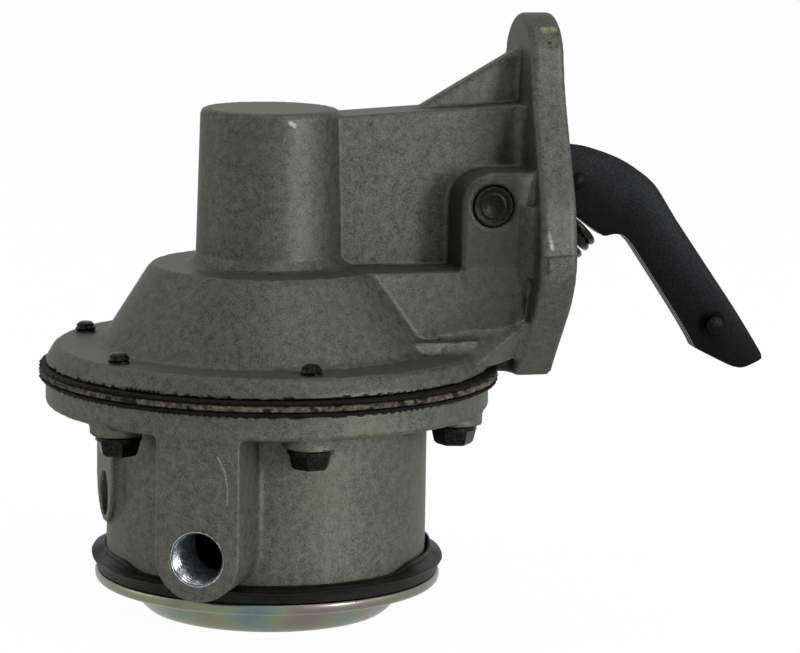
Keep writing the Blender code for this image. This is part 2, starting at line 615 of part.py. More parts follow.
pin_end = PLUG_SEAT - 0.6
smooth(make("pivot_pin", across([
    (0.0, -pin_end), (PIN_R - 0.4, -pin_end), (PIN_R, -pin_end + 0.4), (PIN_R, pin_end - 0.4),
    (PIN_R - 0.4, pin_end), (0.0, pin_end)], PIVOT_X, PIVOT_Z, SMALL), BRIGHT_STEEL))
for name, side in (("pivot_plug_near", -1.0), ("pivot_plug_far", 1.0)):
    seat, rim = side * (PLUG_SEAT + GAP), side * (BOSS_HALF - 0.2)
    well = side * (BOSS_HALF - 0.8)
    smooth(make(name, across([
        (0.0, seat), (PLUG_R, seat), (PLUG_R, rim - side * 0.4), (PLUG_R - 0.4, rim),
        (2.9, rim), (2.5, well), (0.0, well)], PIVOT_X, PIVOT_Z, SMALL), DARK_STEEL))

tilt = math.radians(COIL_TILT)
coil_end = (COIL_TOP[0], 0.0, COIL_TOP[1])
coil_start = (COIL_TOP[0] - COIL_LENGTH * math.cos(tilt), 0.0,
              COIL_TOP[1] - COIL_LENGTH * math.sin(tilt))
smooth(make("arm_return_spring", coil((coil_start, coil_end), COIL_R, COIL_WIRE, COIL_TURNS,
                                      14, 5), BRIGHT_STEEL), 60.0)

# Valves
for prefix, angle, face_z, away in (("inlet", INLET_VALVE_ANGLE, DECK_TOP, 1.0),
                                    ("outlet", OUTLET_VALVE_ANGLE, DECK_LOW, -1.0)):
    cx, cy = on_circle(VALVE_CIRCLE, angle)
    low = face_z - away * (SEAT_T + GAP)
    high = low + away * SEAT_T
    seat = make(prefix + "_valve_seat", lathe([
        (STEM_R + PRESS, low), (SEAT_R, low), (SEAT_R, high), (STEM_R + PRESS, high)],
        SMALL, (cx, cy)), BRASS)
    windows = []
    for k in range(4):
        wx, wy = on_circle(3.6, 45.0 + 90.0 * k)
        windows.append(lathe([(0.0, low - away), (1.3, low - away), (1.3, high + away),
                              (0.0, high + away)], 12, (cx + wx, cy + wy)))
    combine(seat, (), windows)
    disc_low = high + away * GAP
    disc_high = disc_low + away * DISC_THICK
    smooth(make(prefix + "_valve_disc", lathe([
        (STEM_R + 0.2, disc_low), (DISC_R, disc_low), (DISC_R, disc_high),
        (STEM_R + 0.2, disc_high)], SMALL, (cx, cy)), RUBBER, world(cx, cy, disc_low)))
    cap = disc_high + away * (VALVE_LIFT + GAP)
    smooth(make(prefix + "_valve_stem", lathe([
        (0.0, low - away * (GAP + 0.7)), (1.8, low - away * (GAP + 0.7)),
        (1.8, low - away * GAP), (STEM_R, low - away * GAP), (STEM_R, cap), (2.6, cap),
        (2.6, cap + away * 0.6), (0.0, cap + away * 0.6)], 16, (cx, cy)), BRASS))
    wire = 0.25
    smooth(make(prefix + "_valve_spring", coil(
        ((cx, cy, disc_high + away * (wire + 0.1)), (cx, cy, cap - away * (wire + 0.1))),
        1.7, wire, 4.0, 8, 4), BRIGHT_STEEL), 60.0)

# Pulsator and cover
rubber_top = BARREL_END - GAP
rubber_low = rubber_top - RUBBER_T
pulsator = make("pulsator_diaphragm", lathe([
    (COVER_SCREW_R + 0.4, rubber_top), (BARREL_R + 0.3, rubber_top), (BARREL_R + 0.3, LIP_TOP),
    (BARREL_R + 1.2, LIP_TOP - 0.2), (LIP_R, BARREL_END + 0.4), (LIP_R - 0.2, BARREL_END - 1.2),
    (COVER_R - 0.4, rubber_low), (BARREL_BORE, rubber_low), (BARREL_BORE - 3.0, rubber_top - 1.0),
    (12.0, rubber_top - 1.0), (9.4, rubber_low), (COVER_SCREW_R + 0.4, rubber_low)]), RUBBER)
combine(pulsator, (), [port_slab(PORT_HALF + GAP, PORT_Z, BARREL_BORE + 1.2, PORT_FACE + 9.0, PORT_ANGLE)])
smooth(pulsator)
cover_top = rubber_low - GAP
smooth(make("bottom_cover", lathe([
    (COVER_R - 0.5, cover_top), (COVER_R, cover_top - 0.5), (COVER_R, cover_top - RIM_T + 0.8),
    (COVER_R - 0.8, cover_top - RIM_T), (DISH_R + 1.1, cover_top - RIM_T - 0.5),
    (DISH_R, cover_top - RIM_T - 1.5), (DISH_R - 1.5, -52.8), (DISH_R - 3.1, -54.6),
    (REST_R, -PARTING), (WELL_R + 1.2, -PARTING), (WELL_R, -PARTING + 1.0),
    (WELL_R - 0.4, cover_top - COVER_T), (COVER_SCREW_R + 0.3, cover_top - COVER_T),
    (COVER_SCREW_R + 0.3, cover_top), (WELL_R + 0.4, cover_top), (WELL_R + 1.6, -52.6),
    (WELL_R + 2.6, -PARTING + COVER_T), (REST_R - 0.6, -PARTING + COVER_T), (DISH_R - 2.9, -52.0),
    (DISH_R - 1.2, cover_top - 2.0), (DISH_R + 0.4, cover_top)]), ZINC))
head_top = cover_top - COVER_T - GAP
cover_screw = make("cover_screw", lathe([
    (0.0, head_top - 3.4), (3.6, head_top - 3.4), (4.4, head_top - 2.6), (4.4, head_top),
    (COVER_SCREW_R, head_top), (COVER_SCREW_R, -31.6), (COVER_SCREW_R - 0.5, -31.0),
    (0.0, -31.0)], SMALL), ZINC)
combine(cover_screw, (), [
    prism([(-6.0, head_top - 2.4), (6.0, head_top - 2.4), (6.0, head_top - 5.0),
           (-6.0, head_top - 5.0)], -0.6, 0.6)])
smooth(cover_screw)

# Flange screws
for number, angle in enumerate(SCREW_ANGLES, 1):
    cx, cy = on_circle(SCREW_CIRCLE, angle)
    under = -11.2 - GAP
    tip = 6.4
    screw = make("flange_screw_%d" % number, lathe([
        (0.0, under - 1.0), (WASHER_R, under - 1.0), (WASHER_R, under), (SCREW_R, under),
        (SCREW_R, tip - 0.8), (SCREW_R - 0.8, tip), (0.0, tip)], 16, (cx, cy)), BLACK)
    head = hull([(x, y, under - 0.5) for x, y in hexagon(HEX_AF + 0.6, cx, cy)]
                + [(x, y, under - 3.6) for x, y in hexagon(HEX_AF - 0.4, cx, cy)]
                + [(x, y, under - 4.4) for x, y in hexagon(HEX_AF - 1.8, cx, cy)])
    combine(screw, [head])
    smooth(screw)
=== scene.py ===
"""Looks of the mechanical fuel pump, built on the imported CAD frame.

Sizes are millimetres.  Heights are measured from the top face of the diaphragm
pack, which is PARTING above the ring that the pump stands on.  +X points to the
mounting flange, and the pump is seen from the -Y side.
"""

import math

import bmesh
import bpy
import numpy as np
from mathutils import Matrix, Vector


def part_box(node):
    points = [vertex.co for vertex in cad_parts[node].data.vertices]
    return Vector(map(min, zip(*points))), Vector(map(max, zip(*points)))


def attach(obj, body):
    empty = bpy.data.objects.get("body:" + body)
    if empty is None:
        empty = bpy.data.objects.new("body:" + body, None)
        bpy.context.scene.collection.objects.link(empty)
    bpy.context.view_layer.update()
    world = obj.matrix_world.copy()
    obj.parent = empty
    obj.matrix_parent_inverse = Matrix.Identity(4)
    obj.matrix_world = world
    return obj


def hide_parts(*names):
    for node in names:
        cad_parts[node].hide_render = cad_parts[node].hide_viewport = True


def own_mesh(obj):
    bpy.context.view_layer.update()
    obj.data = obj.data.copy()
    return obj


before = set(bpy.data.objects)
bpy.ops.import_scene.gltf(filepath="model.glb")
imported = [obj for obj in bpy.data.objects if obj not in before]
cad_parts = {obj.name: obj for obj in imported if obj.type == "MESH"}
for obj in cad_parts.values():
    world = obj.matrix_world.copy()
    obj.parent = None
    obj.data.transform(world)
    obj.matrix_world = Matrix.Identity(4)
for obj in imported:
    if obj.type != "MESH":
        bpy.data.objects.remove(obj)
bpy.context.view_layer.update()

# Upper housing.  One aluminium die casting, bead blasted grey: a screw flange
# under a cone and a round tower, and a block, a boss, a rib and a web that tie
# them to the mounting flange.  It is hollow for the diaphragm and the linkage.
PARTING = 55.3
DISC_FOOT_R, DISC_TOP_R, DISC_T = 49.2, 47.8, 4.15
SHELF_Z, SHELF_R, CONE_FOOT_R = 21.9, 26.2, 38.0
TOWER_R, TOWER_TOP, TOWER_BORE = 15.3, 56.3, 12.3
DOME_ROOF, SEAL_BORE, CLAMP_R = 18.5, 6.2, 33.5
BLOCK_HALF, BLOCK_TOP, BLOCK_RISE = 7.0, 54.8, 57.3
CHAMBER_HALF, CHAMBER_ROOF = 4.7, 51.6
BOSS_HALF, BASE_HALF, LEDGE_HALF, RIB_HALF = 18.0, 20.0, 23.0, 2.0
BACK_X, MATE_X, BACK_DRAFT = 56.0, 64.0, 0.024
ROOT_X, PAST_X = BACK_X + 0.4, MATE_X + 3.0     # forms end in the flange, cuts end past it
FLANGE_TOP, FLANGE_FOOT, EAR_R, FLANGE_HALF = 77.0, -3.7, 11.4, 24.6
BOLT_R, BOLT_DEPTH, UPPER_BOLT_Z, LOWER_BOLT_Z = 4.3, 6.0, 64.5, 6.5
OPENING_HALF, OPENING_LOW, OPENING_HIGH = 7.8, 12.6, 50.5
PIVOT_X, PIVOT_Z, PLUG_R, PLUG_SEAT, BOSS_CORNER = 46.3, 35.9, 4.7, 15.4, 7.3
FLANGE_LEVELS = (-8.0, -3.7, -2.4, 0.5, 5.0, 13.5, 20.0, 26.0, 36.8, 45.5, 51.0, 55.0, 58.3,
                 61.0, 63.8, 66.5, 70.0, 72.0)
FLANGE_HALVES = (4.0, 6.3, 7.4, 9.7, 13.7, 21.0, 24.2, FLANGE_HALF, 22.6, 18.8, 16.5, 14.8,
                 13.4, 12.5, 11.7, 11.3, 10.5, 9.4)
FLANGE_STEP, FLANGE_BLUR = 0.5, 11      # the levels' spacing, and how many are averaged
HOUSING_CELL = 0.8                      # grid step of the casting's skin


def ramp(value, start, run):
    """None up to start, then rising evenly to one over run."""
    return np.clip((value - start) / run, 0.0, 1.0)


def arc(cx, cy, radius, start, end, steps):
    """Points of a circle about (cx, cy) between two angles in degrees."""
    turn = np.radians(np.linspace(start, end, steps + 1))
    return list(zip(cx + radius * np.cos(turn), cy + radius * np.sin(turn)))


def soft_union(a, b, fillet):
    """Smaller of two distances, with a quadratic fillet where they are alike."""
    share = np.clip(0.5 + 0.5 * (b - a) / fillet, 0.0, 1.0)
    return b + (a - b) * share - fillet * share * (1.0 - share)


def soft_cut(a, b, edge):
    """Distance a with the solid of distance b taken away, its rim eased."""
    return -soft_union(-a, b, edge)


def outline_distance(u, v, outline):
    """Signed distance to a closed polygon: least distance to its edges, with
    the sign turned once for each edge that a ray along u crosses."""
    best = np.full(u.shape, 1e9, np.float32)
    inside = np.zeros(u.shape, bool)
    for (u0, v0), (u1, v1) in zip(outline, outline[1:] + outline[:1]):
        du, dv = u1 - u0, v1 - v0
        length = du * du + dv * dv
        if length < 1e-12:
            continue
        along = np.clip(((u - u0) * du + (v - v0) * dv) / length, 0.0, 1.0)
        best = np.minimum(best, (u - u0 - along * du) ** 2 + (v - v0 - along * dv) ** 2)
        if v0 != v1:
            crosses = (v0 > v) != (v1 > v)
            inside ^= crosses & (u < u0 + (v - v0) * (du / dv))
    best = np.sqrt(best)
    return np.where(inside, -best, best)


def turned_distance(x, y, z, profile, centre=(0.0, 0.0)):
    """Distance to a closed (radius, height) profile turned about an upright axis."""
    radius = np.sqrt((x - centre[0]) ** 2 + (y - centre[1]) ** 2)
    return outline_distance(radius, z, profile)


def slab_distance(u, v, w, outline, near, far, edge=0.0):
    """Distance to an outline in u, v pushed from near to far, its edges rounded."""
    flat = outline_distance(u, v, outline) + edge
    deep = np.abs(w - 0.5 * (near + far)) - 0.5 * (far - near) + edge
    outer = np.sqrt(np.maximum(flat, 0.0) ** 2 + np.maximum(deep, 0.0) ** 2)
    return outer + np.minimum(np.maximum(flat, deep), 0.0) - edge


def hull_distance(x, y, z, points, edge=0.0):
    """Distance to the hull of some points: the greatest of its face planes'."""
    shell = bmesh.new()
    for point in points:
        shell.verts.new(point)
    bmesh.ops.convex_hull(shell, input=shell.verts)
    bmesh.ops.recalc_face_normals(shell, faces=shell.faces)
    best = None
    for face in shell.faces:
        n, d = face.normal, face.normal.dot(face.verts[0].co)
        plane = (n.x * x + n.y * y + n.z * z - d).astype(np.float32)
        best = plane if best is None else -soft_union(-best, -plane, edge + 1e-6)
    shell.free()
    return best


def gradient(distance, points, step):
    """Slope of a distance by central differences at each point."""
    slope = np.empty_like(points)
    for k in range(3):
        ahead, behind = points.copy(), points.copy()
        ahead[:, k] += step
        behind[:, k] -= step
        slope[:, k] = (distance(*ahead.T) - distance(*behind.T)) / (2.0 * step)
    return slope


def build_mesh(name, finish, points, faces, sharp=None):
    """Object of one material, from this script's millimetres and face indices."""
    world = (np.asarray(points, float) + (0.0, 0.0, PARTING)) * 0.001
    mesh = bpy.data.meshes.new(name)
    mesh.from_pydata(world.tolist(), [], faces)
    mesh.validate()
    mesh.materials.append(finish)
    mesh.shade_smooth()
    if sharp is not None:
        mesh.set_sharp_from_angle(angle=math.radians(sharp))
    obj = bpy.data.objects.new(name, mesh)
    bpy.context.scene.collection.objects.link(obj)
    return obj


def skin(name, finish, distance, low, high, cell):
    """Surface where a distance is zero, found on a regular grid.

    Each grid cell that the surface crosses holds one point, the mean of the
    crossings on its edges, which then slides down the slope onto the surface.
    Each crossed grid edge joins the points of the four cells round it.
    """
    axes = [np.arange(l, h + cell, cell, dtype=np.float32) for l, h in zip(low, high)]
    value = distance(*np.meshgrid(*axes, indexing="ij"))
    solid = value < 0.0
    size = np.array(value.shape)
    count = sum(solid[i:size[0] - 1 + i, j:size[1] - 1 + j, k:size[2] - 1 + k].astype(np.int8)
                for i in (0, 1) for j in (0, 1) for k in (0, 1))
    mixed = (count > 0) & (count < 8)
    number = np.full(mixed.shape, -1)
    number[mixed] = np.arange(mixed.sum())
    cells = np.argwhere(mixed)
    total, hits = np.zeros((len(cells), 3)), np.zeros(len(cells))
    unit = np.eye(3, dtype=int)
    faces = []
    for axis in range(3):
        side, up = (axis + 1) % 3, (axis + 2) % 3
        for i in (0, 1):
            for j in (0, 1):
                start = cells + i * unit[side] + j * unit[up]
                a, b = value[tuple(start.T)], value[tuple((start + unit[axis]).T)]
                met = (a < 0.0) != (b < 0.0)
                share = np.where(met, a / np.where(met, a - b, 1.0), 0.0)
                total += np.where(met[:, None], start + share[:, None] * unit[axis], 0.0)
                hits += met
        cut = [slice(1, -1)] * 3
        cut[axis] = slice(0, -1)
        ahead = [slice(1, -1)] * 3
        ahead[axis] = slice(1, None)
        here, there = solid[tuple(cut)], solid[tuple(ahead)]
        offset = 1 - unit[axis]
        for outward in (True, False):
            edges = np.argwhere((here != there) & (here == outward)) + offset
            ring = [edges - unit[side] - unit[up], edges - unit[up], edges, edges - unit[side]]
            quad = np.stack([number[tuple(corner.T)] for corner in ring], axis=1)
            faces.append(quad if outward else quad[:, ::-1])
    points = np.array(low) + cell * total / hits[:, None]
    for _ in range(4):
        slope = gradient(distance, points, 0.1 * cell)
        steep = np.maximum((slope ** 2).sum(1), 0.05)
        move = slope * (distance(*points.T) / steep)[:, None]
        points -= np.clip(move, -0.5 * cell, 0.5 * cell)
    obj = build_mesh(name, finish, points, np.concatenate(faces).tolist())
    normals = gradient(distance, points, 0.25 * cell)
    normals /= np.maximum(np.linalg.norm(normals, axis=1), 1e-9)[:, None]
    obj.data.normals_split_custom_set_from_vertices(normals.tolist())
    # The bend is kept as the edge attribute. From it the material paints highlights on convex edges
    # and shade in creases.
    bend = sum(distance(*(points + side * reach).T) for side in (-1.0, 1.0)
               for reach in cell * np.eye(3)) / (6.0 * cell)
    obj.data.attributes.new("edge", "FLOAT", "POINT").data.foreach_set(
        "value", bend.astype(np.float32))
    return obj


def housing_distance(x, y, z):
    """Casting: turned dome and tower, forms added with fillets, then hollowed."""
    body = turned_distance(x, y, z, [
        (0.0, 0.0), (DISC_FOOT_R - 0.2, 0.0), (DISC_FOOT_R - 0.4, 1.0), (DISC_TOP_R + 0.1, 2.6),
        (DISC_TOP_R - 0.4, DISC_T - 0.7), (DISC_TOP_R - 1.4, DISC_T), (CONE_FOOT_R, DISC_T),
        (CONE_FOOT_R - 1.3, DISC_T + 0.8), (SHELF_R + 0.5, SHELF_Z - 1.0),
        (SHELF_R - 0.6, SHELF_Z), (18.9, SHELF_Z),
        (17.2, SHELF_Z + 0.6), (16.1, SHELF_Z + 2.4), (TOWER_R, TOWER_TOP - 1.2),
        (TOWER_R - 0.4, TOWER_TOP - 0.35), (TOWER_R - 1.2, TOWER_TOP), (0.0, TOWER_TOP)])
    levels = np.arange(FLANGE_LEVELS[-1], FLANGE_LEVELS[0], -FLANGE_STEP)
    side = np.interp(levels, FLANGE_LEVELS, FLANGE_HALVES)
    side = np.convolve(side, np.ones(FLANGE_BLUR) / FLANGE_BLUR, "valid")
    levels = levels[FLANGE_BLUR // 2:][:len(side)]
    flange = arc(0.0, FLANGE_TOP - EAR_R, EAR_R, 90.0, 22.0, 10) + [
        (u, v) for u, v in zip(side[::3], levels[::3])
        if FLANGE_FOOT + 0.7 < v < FLANGE_TOP - 8.0] + [
        (np.interp(FLANGE_FOOT, levels[::-1], side[::-1]), FLANGE_FOOT)]
    flange += [(-u, v) for u, v in reversed(flange[1:])]
    block = [(11.0, SHELF_Z - 1.0), (11.0, BLOCK_TOP), (14.0, BLOCK_TOP),
             (ROOT_X, BLOCK_RISE), (ROOT_X, SHELF_Z - 1.0)]
    body = soft_union(body, slab_distance(x, z, y, block, -BLOCK_HALF, BLOCK_HALF, 1.0), 0.5)
    rib = [(29.7, 54.0), (ROOT_X, 54.0), (ROOT_X, 69.4)]
    body = soft_union(body, slab_distance(x, z, y, rib, -RIB_HALF, RIB_HALF, 0.5), 0.8)
    boss = [(PIVOT_X - BOSS_CORNER, 16.0)] + arc(
        PIVOT_X, PIVOT_Z, BOSS_CORNER, 180.0, 90.0, 10) + [
        (ROOT_X, PIVOT_Z + BOSS_CORNER), (ROOT_X, 16.0)]
    body = soft_union(body, slab_distance(x, z, y, boss, -BOSS_HALF, BOSS_HALF, 1.1), 1.2)
    for form, edge in ((
            [(15.0, BOSS_HALF, SHELF_Z), (ROOT_X, BOSS_HALF, SHELF_Z),
             (22.0, BASE_HALF, 7.6), (ROOT_X, 14.4, 7.6), (48.5, 18.2, 7.6),
             (22.0, 17.0, 1.0), (48.5, 16.0, 1.0)], 0.5), (
            [(26.4, LEDGE_HALF, 7.2), (27.4, LEDGE_HALF, 3.0), (39.8, LEDGE_HALF, 3.0),
             (42.4, LEDGE_HALF - 1.4, 7.2), (24.0, 15.0, 7.2), (44.0, 15.0, 7.2),
             (24.0, 15.0, 3.0), (44.0, 15.0, 3.0)], 0.5), (
            [(34.0, 26.0, 0.4), (37.6, 28.6, 0.4), (46.0, 19.8, 0.4),
             (ROOT_X, 6.9, 0.4), (34.0, 24.0, 4.4), (44.0, 20.6, 4.8),
             (47.5, 18.6, 7.2), (ROOT_X, 15.6, 10.4), (34.0, 18.0, 8.0)], 0.5), (
            [(51.4, 2.0, -3.5), (51.4, 4.0, 1.2), (ROOT_X, 3.4, -3.5),
             (ROOT_X, 6.0, -2.7), (ROOT_X, 7.0, 1.2)], 0.3)):
        points = [(a, s * b, c) for s in (-1.0, 1.0) for a, b, c in form]
        body = soft_union(body, hull_distance(x, y, z, points, edge), 0.7)
    for half, near, low, high, flare in ((BOSS_HALF, 52.7, 20.0, 36.0, 3.5),
                                         (BLOCK_HALF, 54.4, 42.0, BLOCK_RISE - 0.3, 1.9)):
        bevel = [(near, half - 1.0), (near, half), (ROOT_X, half + flare),
                 (ROOT_X, half - 1.0)]
        body = soft_union(body, slab_distance(x, np.abs(y), z, bevel, low, high), 0.8)
    drafted = x - BACK_DRAFT * (z - 50.0) * (MATE_X - x) / (MATE_X - BACK_X)
    body = soft_union(body, slab_distance(y, z, drafted, flange, BACK_X, MATE_X, 1.4), 1.0)
    cavity = turned_distance(x, y, z, [
        (0.0, -3.0), (CLAMP_R, -3.0), (CLAMP_R, 0.6), (33.0, 2.5), (22.8, DOME_ROOF),
        (SEAL_BORE, DOME_ROOF), (SEAL_BORE, SHELF_Z), (TOWER_BORE, SHELF_Z),
        (TOWER_BORE, TOWER_TOP - 3.0), (0.0, TOWER_TOP - 3.0)])
    chamber = [(0.0, 28.0), (0.0, CHAMBER_ROOF), (52.0, CHAMBER_ROOF),
               (BACK_X, OPENING_HIGH), (PAST_X, OPENING_HIGH), (PAST_X, 27.2)]
    pocket = [(PAST_X, OPENING_LOW), (62.7, OPENING_LOW), (50.6, 24.7), (50.6, 31.0),
              (BACK_X, 31.0), (BACK_X, OPENING_HIGH), (PAST_X, OPENING_HIGH)]
    hollow = np.minimum(
        np.minimum(cavity, slab_distance(x, z, y, chamber, -CHAMBER_HALF, CHAMBER_HALF)),
        slab_distance(x, z, y, pocket, -OPENING_HALF, OPENING_HALF, 1.0))
    for height in (UPPER_BOLT_Z, LOWER_BOLT_Z):
        hole = np.sqrt(y ** 2 + (z - height) ** 2) - BOLT_R
        hollow = np.minimum(hollow, np.maximum(hole, MATE_X - BOLT_DEPTH - x))
    pin = np.sqrt((x - PIVOT_X) ** 2 + (z - PIVOT_Z) ** 2)
    hollow = np.minimum(hollow, np.maximum(pin - PLUG_R, PLUG_SEAT - np.abs(y)))
    return soft_cut(body, hollow, 0.5)


def linear(code):
    """Linear colour of an sRGB hex value."""
    parts = [int(code[i:i + 2], 16) / 255.0 for i in (0, 2, 4)]
    return tuple(c / 12.92 if c <= 0.04045 else ((c + 0.055) / 1.055) ** 2.4
                 for c in parts) + (1.0,)


def add(mat, kind, inputs=None, **settings):
    """Adds one shader node, sets it and feeds its inputs from values or sockets."""
    node = mat.node_tree.nodes.new(kind)
    for key, value in settings.items():
        setattr(node, key, value)
    for key, value in (inputs or {}).items():
        if isinstance(value, bpy.types.NodeSocket):
            mat.node_tree.links.new(value, node.inputs[key])
        else:
            node.inputs[key].default_value = value
    return node


def new_material(name, **sockets):
    """Empty Principled material; its plain numbers are set on its own sockets."""
    mat = bpy.data.materials.new(name)
    mat.use_nodes = True
    shader = mat.node_tree.nodes["Principled BSDF"]
    for key, value in sockets.items():
        shader.inputs[key.replace("_", " ").title().replace("Ior", "IOR")].default_value = value
    return mat, shader


def grain(mat, size, detail):
    """Noise whose grains are about size millimetres across."""
    place = add(mat, "ShaderNodeTexCoord").outputs["Object"]
    return add(mat, "ShaderNodeTexNoise", {
        "Vector": place, "Scale": 1000.0 / size, "Detail": detail}).outputs["Fac"]


def between(mat, factor, first, second, low=0.0, high=1.0):
    """Colour that runs from first to second as factor goes from low to high."""
    share = add(mat, "ShaderNodeMapRange", {
        "Value": factor, "From Min": low, "From Max": high}).outputs["Result"]
    return add(mat, "ShaderNodeMix", {0: share, 6: first, 7: second},
               data_type="RGBA").outputs[2]


def metres(x, y, z):
    """World point, in metres, of a point in this script's millimetres."""
    return (x * 0.001, y * 0.001, (z + PARTING) * 0.001)


def stroke(mat, start, end, width):
    """One along a scratch from start to end, fading to none at its width: the
    distance from the nearest of its points, found by a clamped dot product."""
    start, line = Vector(metres(*start)), Vector(metres(*end)) - Vector(metres(*start))
    place = add(mat, "ShaderNodeTexCoord").outputs["Object"]
    offset = add(mat, "ShaderNodeVectorMath", {0: place, 1: start}, operation="SUBTRACT").outputs[0]
    run = add(mat, "ShaderNodeVectorMath", {0: offset, 1: line / line.length_squared},
              operation="DOT_PRODUCT").outputs["Value"]
    run = add(mat, "ShaderNodeClamp", {"Value": run}).outputs[0]
    foot = add(mat, "ShaderNodeVectorMath", {0: line, "Scale": run}, operation="SCALE").outputs[0]
    gap = add(mat, "ShaderNodeVectorMath", {0: offset, 1: foot}, operation="DISTANCE").outputs["Value"]
    return add(mat, "ShaderNodeMapRange", {
        "Value": gap, "From Min": 0.0005 * width, "From Max": 0.001 * width,
        "To Min": 1.0, "To Max": 0.0}).outputs["Result"]


def dress(mat, shader, colour, rough=None, relief=None):
    """Feeds the shader its colour and, where given, its roughness and a bump of
    a height, a strength and a depth in millimetres."""
    mat.node_tree.links.new(colour, shader.inputs["Base Color"])
    if rough:
        mat.node_tree.links.new(rough, shader.inputs["Roughness"])
    if relief:
        bump = add(mat, "ShaderNodeBump", {
            "Height": relief[0], "Strength": relief[1], "Distance": relief[2] * 0.001})
        mat.node_tree.links.new(bump.outputs["Normal"], shader.inputs["Normal"])


def die_casting(name, dark, light, warm):
    """Die-cast aluminium, bead blasted: fine specks over broad clouds, slightly
    oily and grey-green with warmer patches; convex edges get a painted
    highlight, inner corners and creases painted shade, the walls behind the
    mounting flange the flange's painted shadow, and a few scratches cross it."""
    mat, shader = new_material(name, metallic=0.55, specular_ior_level=0.25,
                               specular_tint=linear("cbcbc3"))
    speck, mottle, cloud = grain(mat, 0.34, 2.0), grain(mat, 1.6, 3.0), grain(mat, 11.0, 3.0)
    both = add(mat, "ShaderNodeMix", {0: 0.4, 2: speck, 3: mottle}).outputs[0]
    base = between(mat, both, linear(dark), linear(light), 0.3, 0.7)
    tinted = between(mat, cloud, base, linear(warm), 0.5, 1.1)
    edge = add(mat, "ShaderNodeAttribute", attribute_name="edge").outputs["Fac"]
    # Painted highlight: convex edges are lightened towards 73756d. Painted shade: inner corners and
    # creases are darkened towards 1d1d1a.
    edge_highlight = between(mat, edge, tinted, linear("73756d"), 0.18, 0.65)
    crease_shade = between(mat, edge, linear("1d1d1a"), edge_highlight, -0.35, -0.06)
    # Painted shadow: the walls behind the mounting flange are darkened towards 1a1b18 by the attribute
    # read here.
    flange_shadow = add(mat, "ShaderNodeAttribute", attribute_name="flange_shadow").outputs["Fac"]
    colour = between(mat, flange_shadow, crease_shade, linear("1a1b18"))
    ragged = add(mat, "ShaderNodeMapRange", {
        "Value": both, "From Min": 0.36, "From Max": 0.52}).outputs["Result"]
    for tone, start, end, width in MARKS:
        mark = add(mat, "ShaderNodeMath", {0: stroke(mat, start, end, width), 1: ragged},
                   operation="MULTIPLY").outputs[0]
        colour = between(mat, mark, colour, linear(tone))
    rough = add(mat, "ShaderNodeMapRange", {
        "Value": both, "From Min": 0.3, "From Max": 0.7, "To Min": 0.42, "To Max": 0.56})
    dress(mat, shader, colour, rough.outputs["Result"], (both, 0.3, 0.12))
    return mat


# Wear seen in the photograph: tone, start and end of each scratch, and width.
MARKS = (
    ("2a2a27", (55.8, -24.6, 25.2), (63.9, -24.7, 25.7), 0.5),
    ("262623", (57.0, -24.5, 24.6), (57.1, -24.2, 22.0), 0.5),
    ("85877d", (57.2, -24.2, 31.0), (57.9, -24.5, 27.3), 0.6),
    ("83857b", (60.6, -24.5, 30.2), (61.6, -24.6, 27.6), 0.45),
    ("9a9c92", (61.0, -11.4, 67.7), (63.2, -11.3, 68.3), 0.35),
    ("20201d", (60.4, -10.3, 71.1), (60.7, -10.2, 71.1), 0.6),
    ("20201d", (61.9, -10.8, 70.3), (62.1, -10.7, 70.3), 0.5),
    ("7d7a55", (60.0, -8.2, 74.0), (62.0, -8.2, 74.2), 1.3),
    ("8b8d84", (1.2, -15.4, 54.4), (2.2, -15.4, 53.8), 0.6),
    ("a2a49b", (54.6, -12.6, 7.4), (55.5, -12.3, 8.2), 0.5),
    ("9fa198", (53.2, -13.8, 6.3), (53.7, -13.6, 6.6), 0.4),
    ("7b7d76", (-20.2, -44.2, -12.5), (-18.9, -45.0, -15.5), 0.28),
    ("85877f", (-18.9, -45.0, -15.5), (-18.3, -45.3, -19.0), 0.3),
    ("7b7d76", (-18.3, -45.3, -19.0), (-18.3, -45.3, -22.5), 0.26))


FLANGE_SHADOW_SHARE = 0.8       # painted shadow of the mounting flange on the steep walls behind it
blasted_aluminium = die_casting("blasted_aluminium", "2c2d29", "5d5f58", "504e40")
housing = skin("housing_casting", blasted_aluminium, housing_distance,
               (-51.0, -51.0, -5.0), (65.0, 51.0, 78.5), HOUSING_CELL)
# Painted shadow: the steep walls beside the block and the boss grow darker towards the mounting
# flange, which shades them.
spots = np.array([vertex.co for vertex in housing.data.vertices]) * 1000.0
spot_x, spot_y, spot_z = spots[:, 0], np.abs(spots[:, 1]), spots[:, 2] - PARTING
upward = np.array([vertex.normal.z for vertex in housing.data.vertices])
near_flange = np.where(spot_y < BLOCK_HALF + 1.0, ramp(spot_x, 39.0, 13.5), ramp(spot_x, 19.0, 32.0))
behind = 1.0 - ramp(spot_x, BACK_X - 4.4, 3.0)
beside = ramp(spot_y, 4.5, 1.5) * (1.0 - ramp(spot_y, BASE_HALF, 2.0))
between_levels = ramp(spot_z, DISC_T + 3.0, 2.0) * (1.0 - ramp(spot_z, BLOCK_RISE + 2.0, 4.0))
steep = 1.0 - ramp(upward, 0.45, 0.3)
housing.data.attributes.new("flange_shadow", "FLOAT", "POINT").data.foreach_set(
    "value", (FLANGE_SHADOW_SHARE * near_flange * behind * beside * between_levels * steep).astype(np.float32))
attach(housing, "pump_body")
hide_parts("upper_housing")

